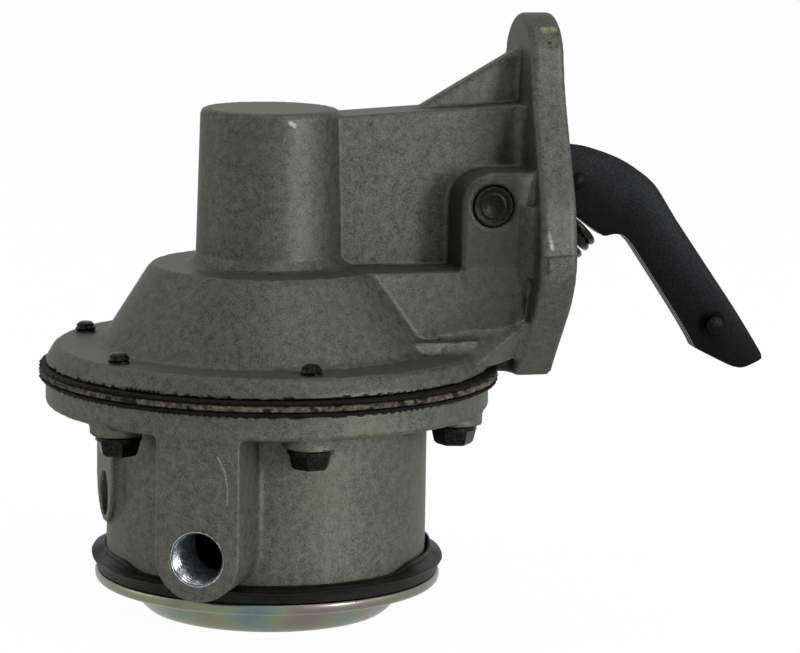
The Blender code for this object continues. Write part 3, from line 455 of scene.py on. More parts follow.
# Lower body.  The second casting: a screw flange, a barrel with a deck, a tall
# slab on one side that carries the threaded inlet, a smaller one for the outlet,
# and cone-shaped bosses for the flange screws.
SCREW_CIRCLE, SCREW_ANGLES = 42.9, (-90.0, -30.0, 30.0, 90.0, 150.0, -150.0)
LOWER_TOP, LOWER_FLANGE_R, LOWER_FLANGE_END = -3.6, 49.0, -9.0
BARREL_R, BARREL_BORE, BARREL_END = 35.5, 31.0, -43.5
DECK_TOP, DECK_LOW = -13.6, -18.0
PORT_ANGLE, PORT_Z, PORT_FACE, PORT_HALF, PORT_R = -120.0, -34.8, 48.3, 9.3, 5.85
OUTLET_ANGLE, OUTLET_Z, OUTLET_FACE, OUTLET_R = 180.0, -28.5, 36.7, 4.8
OUTLET_LIFT = 3.0       # the outlet slab's round end stands above its bore
THREAD_ROOM = 0.12      # room in each bore for its thread
SCREW_BOSS_R, SCREW_SEAT, PAD_R = 5.6, -11.2, 6.2
VALVE_CIRCLE, INLET_VALVE_ANGLE, OUTLET_VALVE_ANGLE, VALVE_THROAT_R = 16.0, -60.0, 120.0, 5.6
LOWER_CELL = 0.7
PORTS = ((PORT_ANGLE, PORT_Z, PORT_FACE, PORT_R, 0.0),
         (OUTLET_ANGLE, OUTLET_Z, OUTLET_FACE, OUTLET_R, OUTLET_LIFT))


def polar(radius, angle):
    """Point at a distance and an angle in degrees from the upright axis."""
    return radius * math.cos(math.radians(angle)), radius * math.sin(math.radians(angle))


def facing(x, y, angle):
    """Coordinates along and across a horizontal direction."""
    c, s = polar(1.0, angle)
    return x * c + y * s, -x * s + y * c


def lower_distance(x, y, z):
    """Casting: turned flange and barrel, slabs and bosses added, then bored."""
    body = turned_distance(x, y, z, [
        (CLAMP_R, LOWER_TOP), (LOWER_FLANGE_R, LOWER_TOP),
        (LOWER_FLANGE_R, LOWER_FLANGE_END + 0.6), (LOWER_FLANGE_R - 0.6, LOWER_FLANGE_END),
        (BARREL_R + 1.2, LOWER_FLANGE_END), (BARREL_R, LOWER_FLANGE_END - 1.2),
        (BARREL_R, BARREL_END), (BARREL_BORE, BARREL_END), (BARREL_BORE, DECK_LOW),
        (0.0, DECK_LOW), (0.0, DECK_TOP), (28.5, DECK_TOP), (CLAMP_R, -8.6)])
    hollow = np.full_like(x, 1e9)
    for angle, height, face, bore, lift in PORTS:
        out, across = facing(x, y, angle)
        outline = [(PORT_HALF, LOWER_FLANGE_END + 2.0), (-PORT_HALF, LOWER_FLANGE_END + 2.0)]
        outline += arc(0.0, height + lift, PORT_HALF, 180.0, 360.0, 20)
        slab = slab_distance(across, z, out, outline, BARREL_BORE + 1.5, face, 0.5)
        body = soft_union(body, slab, 1.2)
        hole = np.sqrt(across ** 2 + (z - height) ** 2) - bore - THREAD_ROOM
        hollow = np.minimum(hollow, np.maximum(hole, 25.0 - out))
    for angle in SCREW_ANGLES:
        cx, cy = polar(SCREW_CIRCLE, angle)
        cone = turned_distance(x, y, z, [(0.0, SCREW_SEAT), (SCREW_BOSS_R, SCREW_SEAT),
                                         (2.6, -4.4), (0.0, -4.4)], (cx * 1.012, cy * 1.012))
        body = soft_union(body, cone, 1.4)
        pad = np.maximum(np.sqrt((x - cx) ** 2 + (y - cy) ** 2) - PAD_R, SCREW_SEAT + 0.3 - z)
        pad = np.maximum(pad, np.sqrt(x ** 2 + y ** 2) - LOWER_FLANGE_R + 0.2)
        body = soft_union(body, np.maximum(pad, z - LOWER_FLANGE_END - 2.0), 0.5)
    for angle in (INLET_VALVE_ANGLE, OUTLET_VALVE_ANGLE):
        cx, cy = polar(VALVE_CIRCLE, angle)
        throat = np.sqrt((x - cx) ** 2 + (y - cy) ** 2) - VALVE_THROAT_R
        hollow = np.minimum(hollow, np.maximum(throat, np.abs(z - (DECK_TOP + DECK_LOW) / 2) - 4.0))
    return soft_cut(body, hollow, 0.4)


lower_aluminium = die_casting("lower_aluminium", "33342e", "686a61", "5a5747")
lower = skin("lower_casting", lower_aluminium, lower_distance,
             (-51.0, -51.0, -46.0), (51.0, 51.0, -2.0), LOWER_CELL)
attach(lower, "pump_body")
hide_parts("lower_body")

# Diaphragm pack.  Coated cloth between two black gaskets, cut a little ragged
# and squeezed by the flanges, so that its edge bulges and frays.
PACK_R, GASKET_T, DIAPHRAGM_T, PACK_GAP = 50.8, 0.8, 1.2, 0.2
PLY_SHIFT = (0.3, 0.0)          # the plies lie a little off the castings' axis
EDGE_R, FRAY_WAVES = 49.2, 26   # from here outwards the plies bulge and fray


def wrapped(name, finish, grid, sharp, ends=False):
    """Closed surface from a grid of rings.  The last ring joins the first, or
    with ends it doesn't, and the first and last rings are filled instead."""
    rows, columns = grid.shape[:2]
    i, j = np.meshgrid(np.arange(rows - ends), np.arange(columns), indexing="ij")
    k, m = (i + 1) % rows, (j + 1) % columns
    quads = np.stack([i * columns + j, i * columns + m, k * columns + m, k * columns + j], -1)
    faces = quads.reshape(-1, 4).tolist()
    if ends:
        faces.append(list(range(columns))[::-1])
        faces.append(list(range((rows - 1) * columns, rows * columns)))
    obj = build_mesh(name, finish, grid.reshape(-1, 3), faces, sharp)
    work = bmesh.new()
    work.from_mesh(obj.data)
    bmesh.ops.remove_doubles(work, verts=work.verts, dist=1e-7)
    bmesh.ops.recalc_face_normals(work, faces=work.faces)
    work.to_mesh(obj.data)
    work.free()
    return obj


def full_turn(steps):
    """Even angles once round, as one row of a grid."""
    return np.linspace(0.0, 2.0 * np.pi, steps, endpoint=False)[None, :]


def ring_grid(profile, ripple=None, steps=360, shift=(0.0, 0.0)):
    """Profile of (radius, height) points carried round the upright axis; ripple
    gives each point's change of radius and height for an angle."""
    turn = full_turn(steps)
    radius = np.array([p[0] for p in profile], float)[:, None] + 0.0 * turn
    height = np.array([p[1] for p in profile], float)[:, None] + 0.0 * turn
    if ripple:
        more, lift = ripple(turn, radius, height)
        radius, height = radius + more, height + lift
    return np.stack([shift[0] + radius * np.cos(turn), shift[1] + radius * np.sin(turn),
                     height], -1)


def fray(seed, size):
    """Uneven edge of cut cloth: many short waves of random size and phase."""
    random = np.random.default_rng(seed)
    waves = list(zip(random.integers(18, 150, FRAY_WAVES), random.uniform(0.1, 1.0, FRAY_WAVES),
                     random.uniform(0.0, 6.3, FRAY_WAVES)))

    def ripple(turn, radius, height):
        out = sum(a * np.sin(n * turn + p) for n, a, p in waves) / 4.0
        near_edge = ramp(radius, EDGE_R - 0.2, 1.5)
        return size * out * near_edge, 0.25 * size * out * near_edge
    return ripple


def bulged_ring(inner, top, thick, reach):
    """Section of one ply: flat, with a rounded outer edge."""
    middle = top - thick / 2
    return [(inner, top), (EDGE_R, top)] + [
        (reach - 0.5 + 0.5 * math.cos(a), middle + thick / 2 * math.sin(a))
        for a in np.linspace(math.pi / 2, -math.pi / 2, 7)] + [
        (EDGE_R, top - thick), (inner, top - thick)]


def grained(name, size, detail, dark, light, low, high, relief=None, **sockets):
    """Material whose tone runs from dark to light as a noise of one grain size
    in millimetres goes from low to high; relief is a bump's strength and depth."""
    mat, shader = new_material(name, **sockets)
    noise = grain(mat, size, detail)
    dress(mat, shader, between(mat, noise, linear(dark), linear(light), low, high),
          relief=relief and (noise,) + relief)
    return mat


def cloth_edge_finish():
    """Rubber-coated cloth, cut: grey-brown threads with black gaps between."""
    mat, shader = new_material("coated_cloth", roughness=0.85, specular_ior_level=0.2)
    thread, gaps = grain(mat, 0.9, 4.0), grain(mat, 2.2, 2.0)
    colour = between(mat, thread, linear("2b2723"), linear("655d53"), 0.35, 0.68)
    colour = between(mat, gaps, linear("12100e"), colour, 0.38, 0.47)
    dress(mat, shader, colour, relief=(thread, 0.8, 0.5))
    return mat


# Graphite gasket sheet, pressed: nearly black, dull, with a fibrous edge.
gasket_sheet = grained("gasket_sheet", 0.8, 3.0, "080807", "171511", 0.35, 0.7, (0.6, 0.3),
                       roughness=0.7, specular_ior_level=0.08)
coated_cloth = cloth_edge_finish()
ply_top = -PACK_GAP
for seed, (name, node, thick, inner, reach, finish, slot, size) in enumerate((
        ("upper_gasket_ring", "gasket_upper", GASKET_T, CLAMP_R, PACK_R - 0.2,
         gasket_sheet, "gasket", 0.16),
        ("diaphragm_cloth", "main_diaphragm", DIAPHRAGM_T, 2.6, PACK_R - 0.1,
         coated_cloth, "coated_cloth", 0.2),
        ("lower_gasket_ring", "gasket_lower", GASKET_T, CLAMP_R, PACK_R - 0.2,
         gasket_sheet, "gasket", 0.16))):
    ply = wrapped(name, finish, ring_grid(bulged_ring(inner, ply_top, thick, reach),
                                          fray(seed, size), 720, PLY_SHIFT), 40.0)
    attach(ply, "pump_body")
    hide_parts(node)
    ply_top -= thick + PACK_GAP

# Port threads.  Tapped pipe threads, bright where the tap has cut the casting:
# a sleeve whose wall is a wave over depth that is shifted once round the bore.
PIPE_PITCH, PIPE_DEPTH = 1.2, 0.6
SLEEVE_WALL, SLEEVE_IN, SLEEVE_SINK, COUNTERSINK = 0.5, 33.0, 0.3, 0.8


def thread_sleeve(angle, height, face, bore):
    """Closed sleeve round a port's axis; radius is the bore plus a wave of
    depth over pitch less the turn, opened by a countersink at the mouth."""
    turn = full_turn(96)
    out = np.arange(SLEEVE_IN, face - SLEEVE_SINK, PIPE_PITCH / 8)[:, None]
    wave = np.abs(((out / PIPE_PITCH - turn / (2.0 * np.pi)) % 1.0) * 2.0 - 1.0)
    wall = bore - PIPE_DEPTH + PIPE_DEPTH * np.minimum(wave, 0.85)
    mouth = bore + THREAD_ROOM - COUNTERSINK * (face - SLEEVE_SINK - out)
    wall = np.minimum(np.maximum(wall, mouth), bore + THREAD_ROOM - 0.02)
    wall = np.concatenate([wall, wall * 0.0 + bore + SLEEVE_WALL])
    out = np.concatenate([out, out[::-1]]) + 0.0 * turn
    c, s = polar(1.0, angle)
    across, z = wall * np.cos(turn), height + wall * np.sin(turn)
    return np.stack([out * c - across * s, out * s + across * c, z], -1)


# Freshly cut aluminium: bright, with fine tool marks.
tapped_metal = grained("tapped_metal", 0.7, 3.0, "6d7478", "b3babd", 0.3, 0.7,
                       metallic=1.0, roughness=0.24)
threads = wrapped("inlet_threads", tapped_metal,
                  thread_sleeve(PORT_ANGLE, PORT_Z, PORT_FACE, PORT_R), 60.0)
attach(threads, "pump_body")

# Flange screws.  Six cold-formed hex screws with a washer face, black phosphate,
# driven up from below; their threaded ends stand out of the upper flange.
HEX_AF, WASHER_R, SCREW_R, SCREW_END, BLIND_END = 8.0, 5.0, 2.4, 6.4, 4.9
THREAD_PITCH, THREAD_DEPTH = 1.06, 0.3
LEDGE_ANGLE, HEAD_TURN = 30.0, 0.35     # two screws end blind; each head stands turned


def screw_grid(cx, cy, turned_by, screw_end):
    """Rings from the head's foot to the thread's tip.  A hexagon's radius is
    half the flats over the cosine of the angle to the nearest flat; the thread
    is a wave of height over pitch less the turn, drawn in towards the tip."""
    turn = full_turn(72)
    hexagon = 0.5 / np.cos((turn + turned_by + np.pi / 6) % (np.pi / 3) - np.pi / 6)
    under = SCREW_SEAT - 0.2
    rings = [(0.0, under - 3.6)] + [
        (width * hexagon, under - below) for width, below in (
            (HEX_AF - 3.4, 3.6), (HEX_AF - 2.9, 4.4), (HEX_AF - 1.6, 4.35),
            (HEX_AF - 0.5, 3.7), (HEX_AF + 0.5, 1.3), (HEX_AF + 0.6, 1.0))]
    rings += [(WASHER_R, under - 1.0), (WASHER_R, under - 0.2), (WASHER_R - 0.2, under),
              (SCREW_R, under), (SCREW_R, DISC_T - 1.0)]
    for height in np.arange(DISC_T - 0.6, screw_end - 0.2, THREAD_PITCH / 6):
        wave = np.cos(2.0 * np.pi * height / THREAD_PITCH - turn)
        thread = SCREW_R - THREAD_DEPTH / 2 + THREAD_DEPTH / 2 * wave
        rings.append((thread * (1.0 - 0.28 * ramp(height, screw_end - 1.2, 1.2)), height))
    rings += [(1.3, screw_end), (0.0, screw_end)]
    return np.concatenate([np.stack([cx + radius * np.cos(turn), cy + radius * np.sin(turn),
                                     0.0 * turn + height], -1) for radius, height in rings])


# Phosphated steel, oiled: black with a soft grey sheen and worn specks.
phosphate = grained("black_phosphate", 0.5, 3.0, "10100f", "292927", 0.4, 0.75, (0.25, 0.2),
                    metallic=0.95, roughness=0.42)
for number, angle in enumerate(SCREW_ANGLES, 1):
    end = BLIND_END if abs(angle) == LEDGE_ANGLE else SCREW_END
    screw = wrapped("hex_screw_%d" % number, phosphate,
                    screw_grid(*polar(SCREW_CIRCLE, angle), HEAD_TURN * number, end), 35.0)
    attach(screw, "pump_body")
    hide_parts("flange_screw_%d" % number)

# Pivot plugs.  Steel caps pressed and peened over the ends of the pivot pin,
# with a raised ring and a shallow dish in the middle.


def oiled_steel(name, dark, light):
    """Heat-treated steel, oiled: brown-black scale with fine grey wear."""
    mat, shader = new_material(name, metallic=0.95, roughness=0.42)
    speck, cloud = grain(mat, 0.6, 4.0), grain(mat, 7.0, 3.0)
    fine = between(mat, speck, linear(dark), linear(light), 0.35, 0.7)
    dress(mat, shader, between(mat, cloud, fine, linear(dark), 0.45, 0.8),
          relief=(speck, 0.15, 0.15))
    return mat


def level_grid(profile, x, z):
    """Profile of (radius, y) points carried round an axis along Y."""
    return ring_grid(profile, steps=96)[..., [0, 2, 1]] + (x, 0.0, z)


black_scale = oiled_steel("black_scale_steel", "10100f", "1d1d1b")
for name, side in (("pivot_plug_near", -1.0), ("pivot_plug_far", 1.0)):
    face = BOSS_HALF - 0.3
    plug = wrapped(name + "_cap", black_scale, level_grid([
        (radius, side * depth) for radius, depth in (
            (0.0, PLUG_SEAT + 0.2), (PLUG_R - 0.05, PLUG_SEAT + 0.2),
            (PLUG_R - 0.05, face - 0.5), (PLUG_R - 0.35, face), (PLUG_R - 0.9, face + 0.05),
            (PLUG_R - 1.5, face - 0.25), (3.0, face - 0.3), (2.7, face - 0.12),
            (2.4, face - 0.1), (2.0, face - 0.35), (0.0, face - 0.4))],
        PIVOT_X, PIVOT_Z), 50.0)
    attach(plug, "pump_body")
    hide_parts(name)

# Rocker arm.  Three stamped plates held by two rivets, heat treated and oiled
# black.  The middle plate stands proud along the bend; the tip has a stud.
PLATE_INNER, PLATE_OUTER, CORE_HALF, ARM_EYE_R = 1.05, 2.45, 0.85, 7.3
PLATE_EASE, CORNER_CUT = 0.25, 0.15
RIVET, INNER_RIVET, TIP = (70.3, 39.3), (58.6, 41.6), (103.0, 6.1)
PLATE_BACK = [(63.0, 47.6), (68.7, 46.9), (71.8, 46.2), (74.3, 45.4), (76.2, 44.8), (78.6, 43.7),
              (81.1, 42.7), (83.5, 41.4), (85.5, 40.1), (87.2, 38.7), (88.4, 37.5), (89.6, 36.2)]
CORE_BACK = [(63.0, 48.3), (69.2, 47.5), (72.0, 47.1), (74.8, 46.3), (77.2, 45.5), (79.7, 44.5),
             (82.1, 43.3), (84.6, 41.7), (87.1, 39.9), (88.8, 38.3), (90.1, 36.7)]
ARM_FRONT = [(97.9, 24.4), (103.2, 16.9), (108.5, 9.4), (113.4, 1.9), (115.2, -1.0),
             (115.4, -2.2), (114.6, -2.8), (111.6, -4.1), (110.2, -4.3), (107.9, -3.8),
             (99.2, 0.6), (98.4, 2.3), (96.1, 6.1), (91.2, 13.5), (86.1, 21.0), (83.6, 24.7),
             (81.5, 26.9), (79.3, 27.2), (76.9, 26.7), (75.6, 27.4), (72.0, 30.1), (64.2, 36.4)]


def rounded(outline):
    """Outline with each corner cut off twice, a share of the way along its edges."""
    points = np.array(outline, float)
    for _ in range(2):
        after = np.roll(points, -1, axis=0)
        points = np.stack([points + CORNER_CUT * (after - points),
                           after + CORNER_CUT * (points - after)], 1).reshape(-1, 2)
    return points


def inset(points, depth):
    """Clockwise outline moved inwards by depth along its corners' normals."""
    ahead = np.roll(points, -1, axis=0) - points
    ahead /= np.linalg.norm(ahead, axis=1)[:, None]
    both = ahead + np.roll(ahead, 1, axis=0)
    both /= np.linalg.norm(both, axis=1)[:, None]
    return points + depth * np.stack([both[:, 1], -both[:, 0]], -1)


def stamped_plate(name, finish, outline, near, far):
    """Outline pushed from near to far in Y, its edges eased by a quarter round."""
    points = rounded(outline)
    turns = np.linspace(0.0, math.pi / 2, 4)
    steps = [(a, near, 1.0) for a in turns] + [(a, far, -1.0) for a in turns[::-1]]
    rings = []
    for a, side, inward in steps:
        ring = inset(points, PLATE_EASE * (1.0 - math.sin(a)))
        level = side + inward * PLATE_EASE * (1.0 - math.cos(a))
        rings.append(np.stack([ring[:, 0], np.full(len(ring), level), ring[:, 1]], -1))
    return wrapped(name, finish, np.stack(rings), 40.0, ends=True)


arm_eye = arc(PIVOT_X, PIVOT_Z, ARM_EYE_R, -66.0, -250.0, 24) + [(55.0, 46.6)]
core_end = [(55.5, 34.0), (55.5, 46.4)]
arm_steel = oiled_steel("oiled_arm_steel", "0b0b0c", "141516")
for name, back, end, near, far in (
        ("arm_plate_near", PLATE_BACK, arm_eye, -PLATE_OUTER, -PLATE_INNER),
        ("arm_core", CORE_BACK, core_end, -CORE_HALF, CORE_HALF),
        ("arm_plate_far", PLATE_BACK, arm_eye, PLATE_INNER, PLATE_OUTER)):
    plate = stamped_plate(name + "_stamping", arm_steel, back + ARM_FRONT + end, near, far)
    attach(plate, "rocker_arm")
    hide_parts(name)
face = PLATE_OUTER
for name, (x, z), radius, crown, tall in (("arm_rivet_outer", RIVET, 2.1, 1.75, 0.45),
                                          ("arm_rivet_inner", INNER_RIVET, 2.1, 1.75, 0.45),
                                          ("arm_tip_pin", TIP, 3.3, 2.05, 2.7)):
    half = [(0.0, face + tall), (crown - 0.35, face + tall), (crown, face + tall - 0.25),
            (crown + 0.15, face + 0.35 * tall), (radius, face + 0.02), (radius, face - 0.4)]
    profile = [(r, -y) for r, y in half] + half[::-1]
    stud = wrapped(name + "_head", arm_steel, level_grid(profile, x, z), 45.0)
    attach(stud, "rocker_arm")
    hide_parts(name)

# Springs.  Round wire wound cold, ends closed: the arm's return spring between
# the pocket and the arm, the diaphragm spring and the two small valve springs.
COIL_R, COIL_WIRE, COIL_TURNS = 5.5, 0.9, 8.0
COIL_TOP, COIL_TILT, COIL_LENGTH = (70.1, 0.0, 29.4), 45.0, 16.0
MAIN_COIL_R, MAIN_WIRE, VALVE_COIL_R, VALVE_WIRE, INSIDE_TURNS = 13.0, 1.0, 1.7, 0.25, 4.0
ROD_STROKE, VALVE_LIFT, ARM_SPRING_KEPT = 6.1, 1.2, 0.85
WIRE_STEPS = 40         # rings of the wire's surface in one turn


def wound_wire(name, finish, start, end, radius, wire, turns):
    """Round wire wound about the line from start to end: angle and progress
    along the wire, and angle round it, are the two parameters."""
    start, end = np.array(start, float), np.array(end, float)
    length = np.linalg.norm(end - start)
    along = (end - start) / length
    across = np.array((0.0, 1.0, 0.0))
    up = np.cross(along, across)
    step = np.arange(int(turns * WIRE_STEPS) + 1)[:, None] / WIRE_STEPS
    out = across * np.cos(2 * np.pi * step) + up * np.sin(2 * np.pi * step)
    middle = start + along * length * ramp(step, 0.5, turns - 1.0) + out * radius
    spin = full_turn(12)[:, :, None]
    grid = middle[:, None] + wire * (out[:, None] * np.cos(spin) + along * np.sin(spin))
    return wrapped(name, finish, grid, 50.0, ends=True)


# Drawn spring wire: streaked where it was drawn, oiled black outside, bright inside.
dark_wire, bright_wire = [
    grained(name, 1.2, 3.0, dark, light, 0.35, 0.7, metallic=0.9, roughness=0.33)
    for name, dark, light in (("oiled_spring_wire", "0c0c0b", "262521"),
                              ("bright_spring_wire", "77756f", "a5a39b"))]
tilt = math.radians(COIL_TILT)
slant, coil_top = Vector((math.cos(tilt), 0.0, math.sin(tilt))), Vector(COIL_TOP)
coil_start = coil_top - COIL_LENGTH * slant
arm_spring = wound_wire("arm_spring_wire", dark_wire, coil_start, coil_top,
                        COIL_R, COIL_WIRE, COIL_TURNS)
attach(arm_spring, "pump_body")
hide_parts("arm_return_spring")
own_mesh(arm_spring)
for node, joint, travel, radius, wire, fixed in (
        ("diaphragm_spring", "rod_slide", ROD_STROKE, MAIN_COIL_R, MAIN_WIRE, 1),
        ("inlet_valve_spring", "inlet_valve_lift", VALVE_LIFT, VALVE_COIL_R, VALVE_WIRE, 1),
        ("outlet_valve_spring", "outlet_valve_lift", VALVE_LIFT, VALVE_COIL_R, VALVE_WIRE, 0)):
    corners = np.array(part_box(node)) * 1000.0 - (0.0, 0.0, PARTING)
    (cx, cy, _), tall = corners.mean(axis=0), corners[1, 2] - corners[0, 2]
    coil = wound_wire(node + "_wire", bright_wire, (cx, cy, corners[0, 2] + wire),
                      (cx, cy, corners[1, 2] - wire), radius, wire, INSIDE_TURNS)
    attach(coil, "pump_body")
    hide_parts(node)
    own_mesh(coil)

# Pulsator diaphragm.  Black rubber sheet clamped under the barrel; its free edge
# is turned up round the barrel in a doubled, wavy lip.
RUBBER_T, LIP_R, LIP_TOP = 2.4, 39.4, -39.8
LIP_FRONT, LIP_DIP = -102.4, 2.9
COVER_R, COVER_T, RIM_T = 38.4, 1.6, 2.4
RUBBER_TOP = BARREL_END - 0.2
FOOT_SHIFT = (0.35, -0.08)      # lip and cover lie a little off the castings' axis


def lip_ripple(turn, radius, height):
    """Slow waves of the turned-up lip, largest on the side away from the flange;
    on the port's side the lip is pressed low, and it stands up at the two flaps."""
    loose = ramp(radius, 36.2, 2.0) * ramp(height, -45.8, 2.0)
    away = 0.55 + 0.45 * np.cos(turn - np.radians(200.0))
    wave = (0.55 * np.sin(5 * turn + 0.4) + 0.35 * np.sin(9 * turn + 2.0)
            + 0.25 * np.sin(17 * turn + 1.1))
    lift = 0.7 * wave * away
    more = 0.35 * np.sin(7 * turn + 1.0) * away
    from_front = np.abs((turn - np.radians(LIP_FRONT) + np.pi) % (2.0 * np.pi) - np.pi)
    pressed = 0.0
    for flap, width in ((81.0, 9.0), (48.0, 13.0)):
        step = 1.0 - ramp(from_front, np.radians(flap), np.radians(width))
        pressed = pressed + 0.5 * step * step * (3.0 - 2.0 * step)
    share = ramp(height, BARREL_END, LIP_TOP - BARREL_END)
    return (more * loose - 0.35 * loose * (1.0 - pressed),
            lift * loose * (1.0 - 0.5 * pressed) - LIP_DIP * pressed * share)


# Black rubber sheet, moulded and dusty: dull, a little grey on its edges.
black_rubber = grained("moulded_rubber", 3.0, 4.0, "090908", "1b1a17", 0.35, 0.75, (0.2, 0.3),
                       roughness=0.5, specular_ior_level=0.12)
rubber_low = RUBBER_TOP - RUBBER_T
lip_profile = [(2.8, RUBBER_TOP), (BARREL_R + 0.2, RUBBER_TOP), (BARREL_R + 0.2, LIP_TOP - 0.5),
               (BARREL_R + 0.4, LIP_TOP), (BARREL_R + 0.8, LIP_TOP - 0.2),
               (BARREL_R + 1.1, LIP_TOP - 0.9), (BARREL_R + 1.0, LIP_TOP - 1.5),
               (BARREL_R + 1.6, LIP_TOP - 2.0), (LIP_R - 1.2, BARREL_END + 1.2),
               (LIP_R - 0.3, BARREL_END + 0.8), (LIP_R, BARREL_END + 0.3),
               (LIP_R - 0.2, BARREL_END - 0.2), (LIP_R - 0.8, BARREL_END - 0.5),
               (LIP_R - 1.2, BARREL_END - 0.9), (LIP_R - 1.3, BARREL_END - 1.6),
               (COVER_R - 0.4, rubber_low), (31.0, rubber_low), (28.0, RUBBER_TOP - 1.0),
               (12.0, RUBBER_TOP - 1.0), (9.4, rubber_low), (2.8, rubber_low)]
lip = wrapped("pulsator_rubber", black_rubber,
              ring_grid(lip_profile, lip_ripple, shift=FOOT_SHIFT), 50.0)
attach(lip, "pump_body")
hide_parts("pulsator_diaphragm")

# Bottom cover.  Pressed steel dish, zinc plated and yellow passivated, so it
# shines with bands of straw, pink and green; a flat rim carries the clamp load.
DISH_R, REST_R, WELL_R = 30.5, 26.0, 9.0


def yellow_zinc():
    """Passivated zinc: smooth metal whose thin film shifts from straw to pink
    and green in slow bands and clouds."""
    mat, shader = new_material("yellow_zinc_plate", metallic=1.0, roughness=0.3)
    film = add(mat, "ShaderNodeValToRGB", {"Fac": grain(mat, 16.0, 3.0)})
    bands = film.color_ramp.elements
    stops = ((0.30, "5f6f74"), (0.40, "6b7c70"), (0.48, "787c62"), (0.56, "75726a"),
             (0.66, "756a6e"), (0.78, "657a6e"))
    while len(bands) < len(stops):
        bands.new(0.5)
    for band, (where, code) in zip(bands, stops):
        band.position, band.color = where, linear(code)
    rough = add(mat, "ShaderNodeMapRange", {
        "Value": grain(mat, 1.5, 3.0), "To Min": 0.22, "To Max": 0.4})
    dress(mat, shader, film.outputs["Color"], rough.outputs["Result"])
    return mat


zinc_plate = yellow_zinc()
cover_top = rubber_low - 0.2
rim_low, floor_top = cover_top - RIM_T, cover_top - COVER_T
dish = [(COVER_R - 0.5, cover_top), (COVER_R - 0.15, cover_top - 0.15), (COVER_R, cover_top - 0.5),
        (COVER_R - 0.05, cover_top - 1.3)]
dish += arc(COVER_R - 1.25, rim_low + 1.1, 1.2, 0.0, -75.0, 6)[1:]
dish += [(DISH_R + 4.0, rim_low - 0.2), (DISH_R + 2.0, rim_low - 0.45), (DISH_R + 1.0, rim_low - 0.8),
         (DISH_R + 0.3, rim_low - 1.4), (29.7, -51.4), (29.0, -52.6), (28.2, -53.7),
         (27.3, -54.6), (REST_R + 0.6, -55.1), (REST_R, -PARTING),
         (WELL_R + 1.2, -PARTING), (WELL_R + 0.3, -PARTING + 0.4), (WELL_R, -PARTING + 1.2),
         (WELL_R - 0.4, floor_top), (2.8, floor_top), (2.8, cover_top), (WELL_R + 0.4, cover_top),
         (WELL_R + 1.6, -52.6), (WELL_R + 2.6, -PARTING + COVER_T),
         (REST_R - 0.6, -PARTING + COVER_T), (27.6, -52.0), (DISH_R - 1.2, cover_top - 2.0),
         (DISH_R + 0.4, cover_top)]
cover = wrapped("pressed_cover", zinc_plate, ring_grid(dish, shift=FOOT_SHIFT), 50.0)
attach(cover, "pump_body")
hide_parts("bottom_cover")

# Hidden pieces.  Rod, plates, link, seal, seats and valves keep their CAD shape
# and get the finish that such pieces have: turned or pressed metal, with fine
# tool marks over an even tone, rubber or zinc plate.
turned_steel, turned_brass = [
    grained(name, 0.8, 3.0, dark, light, 0.3, 0.7, (0.1, 0.1), metallic=1.0, roughness=rough)
    for name, dark, light, rough in (("turned_steel", "8f8d88", "b3b1ab", 0.32),
                                     ("turned_brass", "a8895a", "c9ab78", 0.35))]
inside = {
    turned_steel: ("pull_rod", "upper_plate", "lower_plate", "rod_nut", "link", "pivot_pin"),
    turned_brass: ("inlet_valve_seat", "inlet_valve_stem", "outlet_valve_seat",
                   "outlet_valve_stem"),
    black_rubber: ("rod_seal", "inlet_valve_disc", "outlet_valve_disc"),
    zinc_plate: ("spring_seat", "cover_screw"),
}
for finish, nodes in inside.items():
    for node in nodes:
        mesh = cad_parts[node].data
        mesh.materials.clear()
        mesh.materials.append(finish)

# Studio.  A white floor and backdrop.  A small soft light shines along the front
# from the right, with weaker ones at both sides, above and behind, as a product
# photographer sets them for grey metal.
FLOOR_HALF, FLOOR_SEEN, WORLD_SHINE, VIEW_TURN = 5.0, 0.97, 0.5, 12.4


def shown(tree):
    """One for a ray from the camera, a reflection or a glass ray, else none."""
    path = add(tree, "ShaderNodeLightPath")
    share = path.outputs["Is Camera Ray"]
    for kind in ("Is Glossy Ray", "Is Transmission Ray"):
        share = add(tree, "ShaderNodeMath", {0: share, 1: path.outputs[kind]},
                    operation="MAXIMUM").outputs[0]
    return share


def paper():
    """White paper that the camera and reflections see as nearly plain white,
    while its own shading keeps the object's shadow."""
    mat, shader = new_material("floor_paper", roughness=0.9)
    shader.inputs["Base Color"].default_value = linear("f4f4f2")
    glow = add(mat, "ShaderNodeEmission", {"Color": linear("ffffff"), "Strength": 1.0})
    share = add(mat, "ShaderNodeMath", {0: shown(mat), 1: FLOOR_SEEN}, operation="MULTIPLY")
    mix = add(mat, "ShaderNodeMixShader", {0: share.outputs[0], 1: shader.outputs[0],
                                           2: glow.outputs[0]})
    out = mat.node_tree.nodes["Material Output"]
    mat.node_tree.links.new(mix.outputs[0], out.inputs["Surface"])
    return mat


floor_mesh = bpy.data.meshes.new("floor")
floor_mesh.from_pydata([(x * FLOOR_HALF, y * FLOOR_HALF, 0.0) for x, y in (
    (-1, -1), (1, -1), (1, 1), (-1, 1))], [], [(0, 1, 2, 3)])
floor_mesh.materials.append(paper())
floor = bpy.data.objects.new("floor", floor_mesh)
bpy.context.scene.collection.objects.link(floor)

world = bpy.data.worlds.new("studio")
bpy.context.scene.world = world
world.use_nodes = True
background = world.node_tree.nodes["Background"]
background.inputs["Color"].default_value = linear("fdfdfd")
strength = add(world, "ShaderNodeMapRange", {
    "Value": shown(world), "To Min": WORLD_SHINE, "To Max": 1.0})
world.node_tree.links.new(strength.outputs["Result"], background.inputs["Strength"])

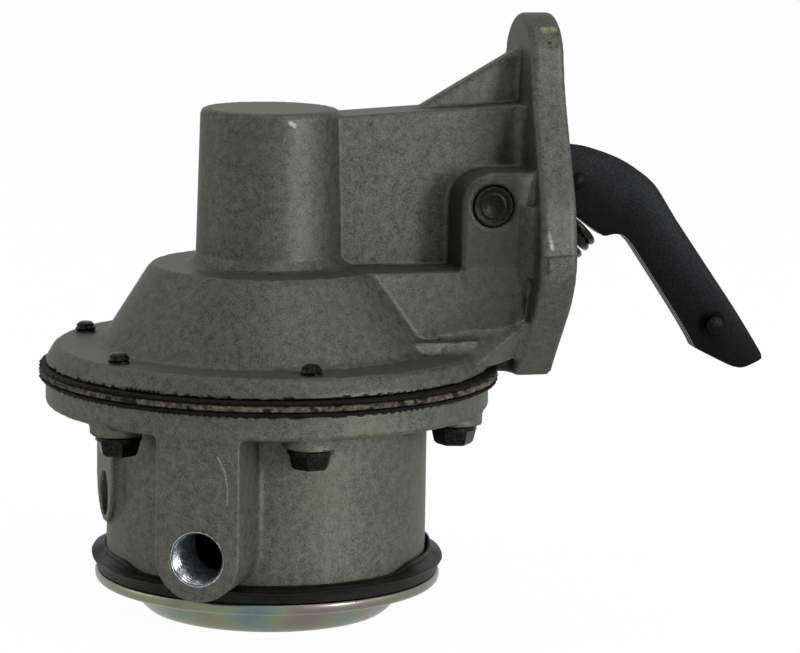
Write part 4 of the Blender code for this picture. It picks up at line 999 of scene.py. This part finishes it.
# Each lamp stands a metre from the target; its azimuth runs from the camera's
# side to its right, and the rest is height in degrees, width, height and watts.
TARGET = Vector((0.02, 0.0, 0.06))
for name, azimuth, height, wide, tall, watts in (
        ("key_softbox", 47.0, 9.0, 0.22, 0.34, 6.0),
        ("side_softbox", 80.0, 14.0, 0.3, 0.7, 0.8),
        ("left_softbox", -92.0, 16.0, 0.45, 0.8, 1.6),
        ("top_softbox", 31.0, 62.0, 0.35, 0.35, 1.6),
        ("rear_softbox", -150.0, 60.0, 0.6, 0.5, 0.7)):
    turn, rise = math.radians(azimuth - 90.0 - VIEW_TURN), math.radians(height)
    away = Vector((math.cos(turn) * math.cos(rise), math.sin(turn) * math.cos(rise),
                   math.sin(rise)))
    lamp = bpy.data.lights.new(name, "AREA")
    lamp.shape = "RECTANGLE"
    lamp.size, lamp.size_y, lamp.energy = wide, tall, watts
    softbox = bpy.data.objects.new(name, lamp)
    softbox.location = TARGET + away
    softbox.rotation_euler = (-away).to_track_quat("-Z", "Y").to_euler()
    bpy.context.scene.collection.objects.link(softbox)

# Camera.  Long lens in front of the pump, a little above it and to the left, on
# the ports' side; place and angles are fitted to the rims in the photograph.
CAMERA_AT = (-0.16556, -0.75302, 0.18684)
CAMERA_YAW, CAMERA_PITCH, CAMERA_ROLL = 0.0379 + math.radians(VIEW_TURN), -0.1588, 0.0157
SENSOR, PHOTO_WIDTH, FOCAL_PIXELS = 36.0, 800.0, 3524.9
forward = Vector((math.sin(CAMERA_YAW) * math.cos(CAMERA_PITCH),
                  math.cos(CAMERA_YAW) * math.cos(CAMERA_PITCH), math.sin(CAMERA_PITCH)))
level = Vector((math.cos(CAMERA_YAW), -math.sin(CAMERA_YAW), 0.0))
above = level.cross(forward)
right = math.cos(CAMERA_ROLL) * level + math.sin(CAMERA_ROLL) * above
up = -math.sin(CAMERA_ROLL) * level + math.cos(CAMERA_ROLL) * above
camera_data = bpy.data.cameras.new("camera")
camera_data.lens, camera_data.sensor_width = FOCAL_PIXELS / PHOTO_WIDTH * SENSOR, SENSOR
camera_data.clip_start = 0.05
camera = bpy.data.objects.new("camera", camera_data)
camera.matrix_world = (Matrix.Translation(CAMERA_AT)
                       @ Matrix((right, up, -forward)).transposed().to_4x4())
bpy.context.scene.collection.objects.link(camera)
bpy.context.scene.camera = camera
bpy.context.scene.view_settings.view_transform = "Standard"
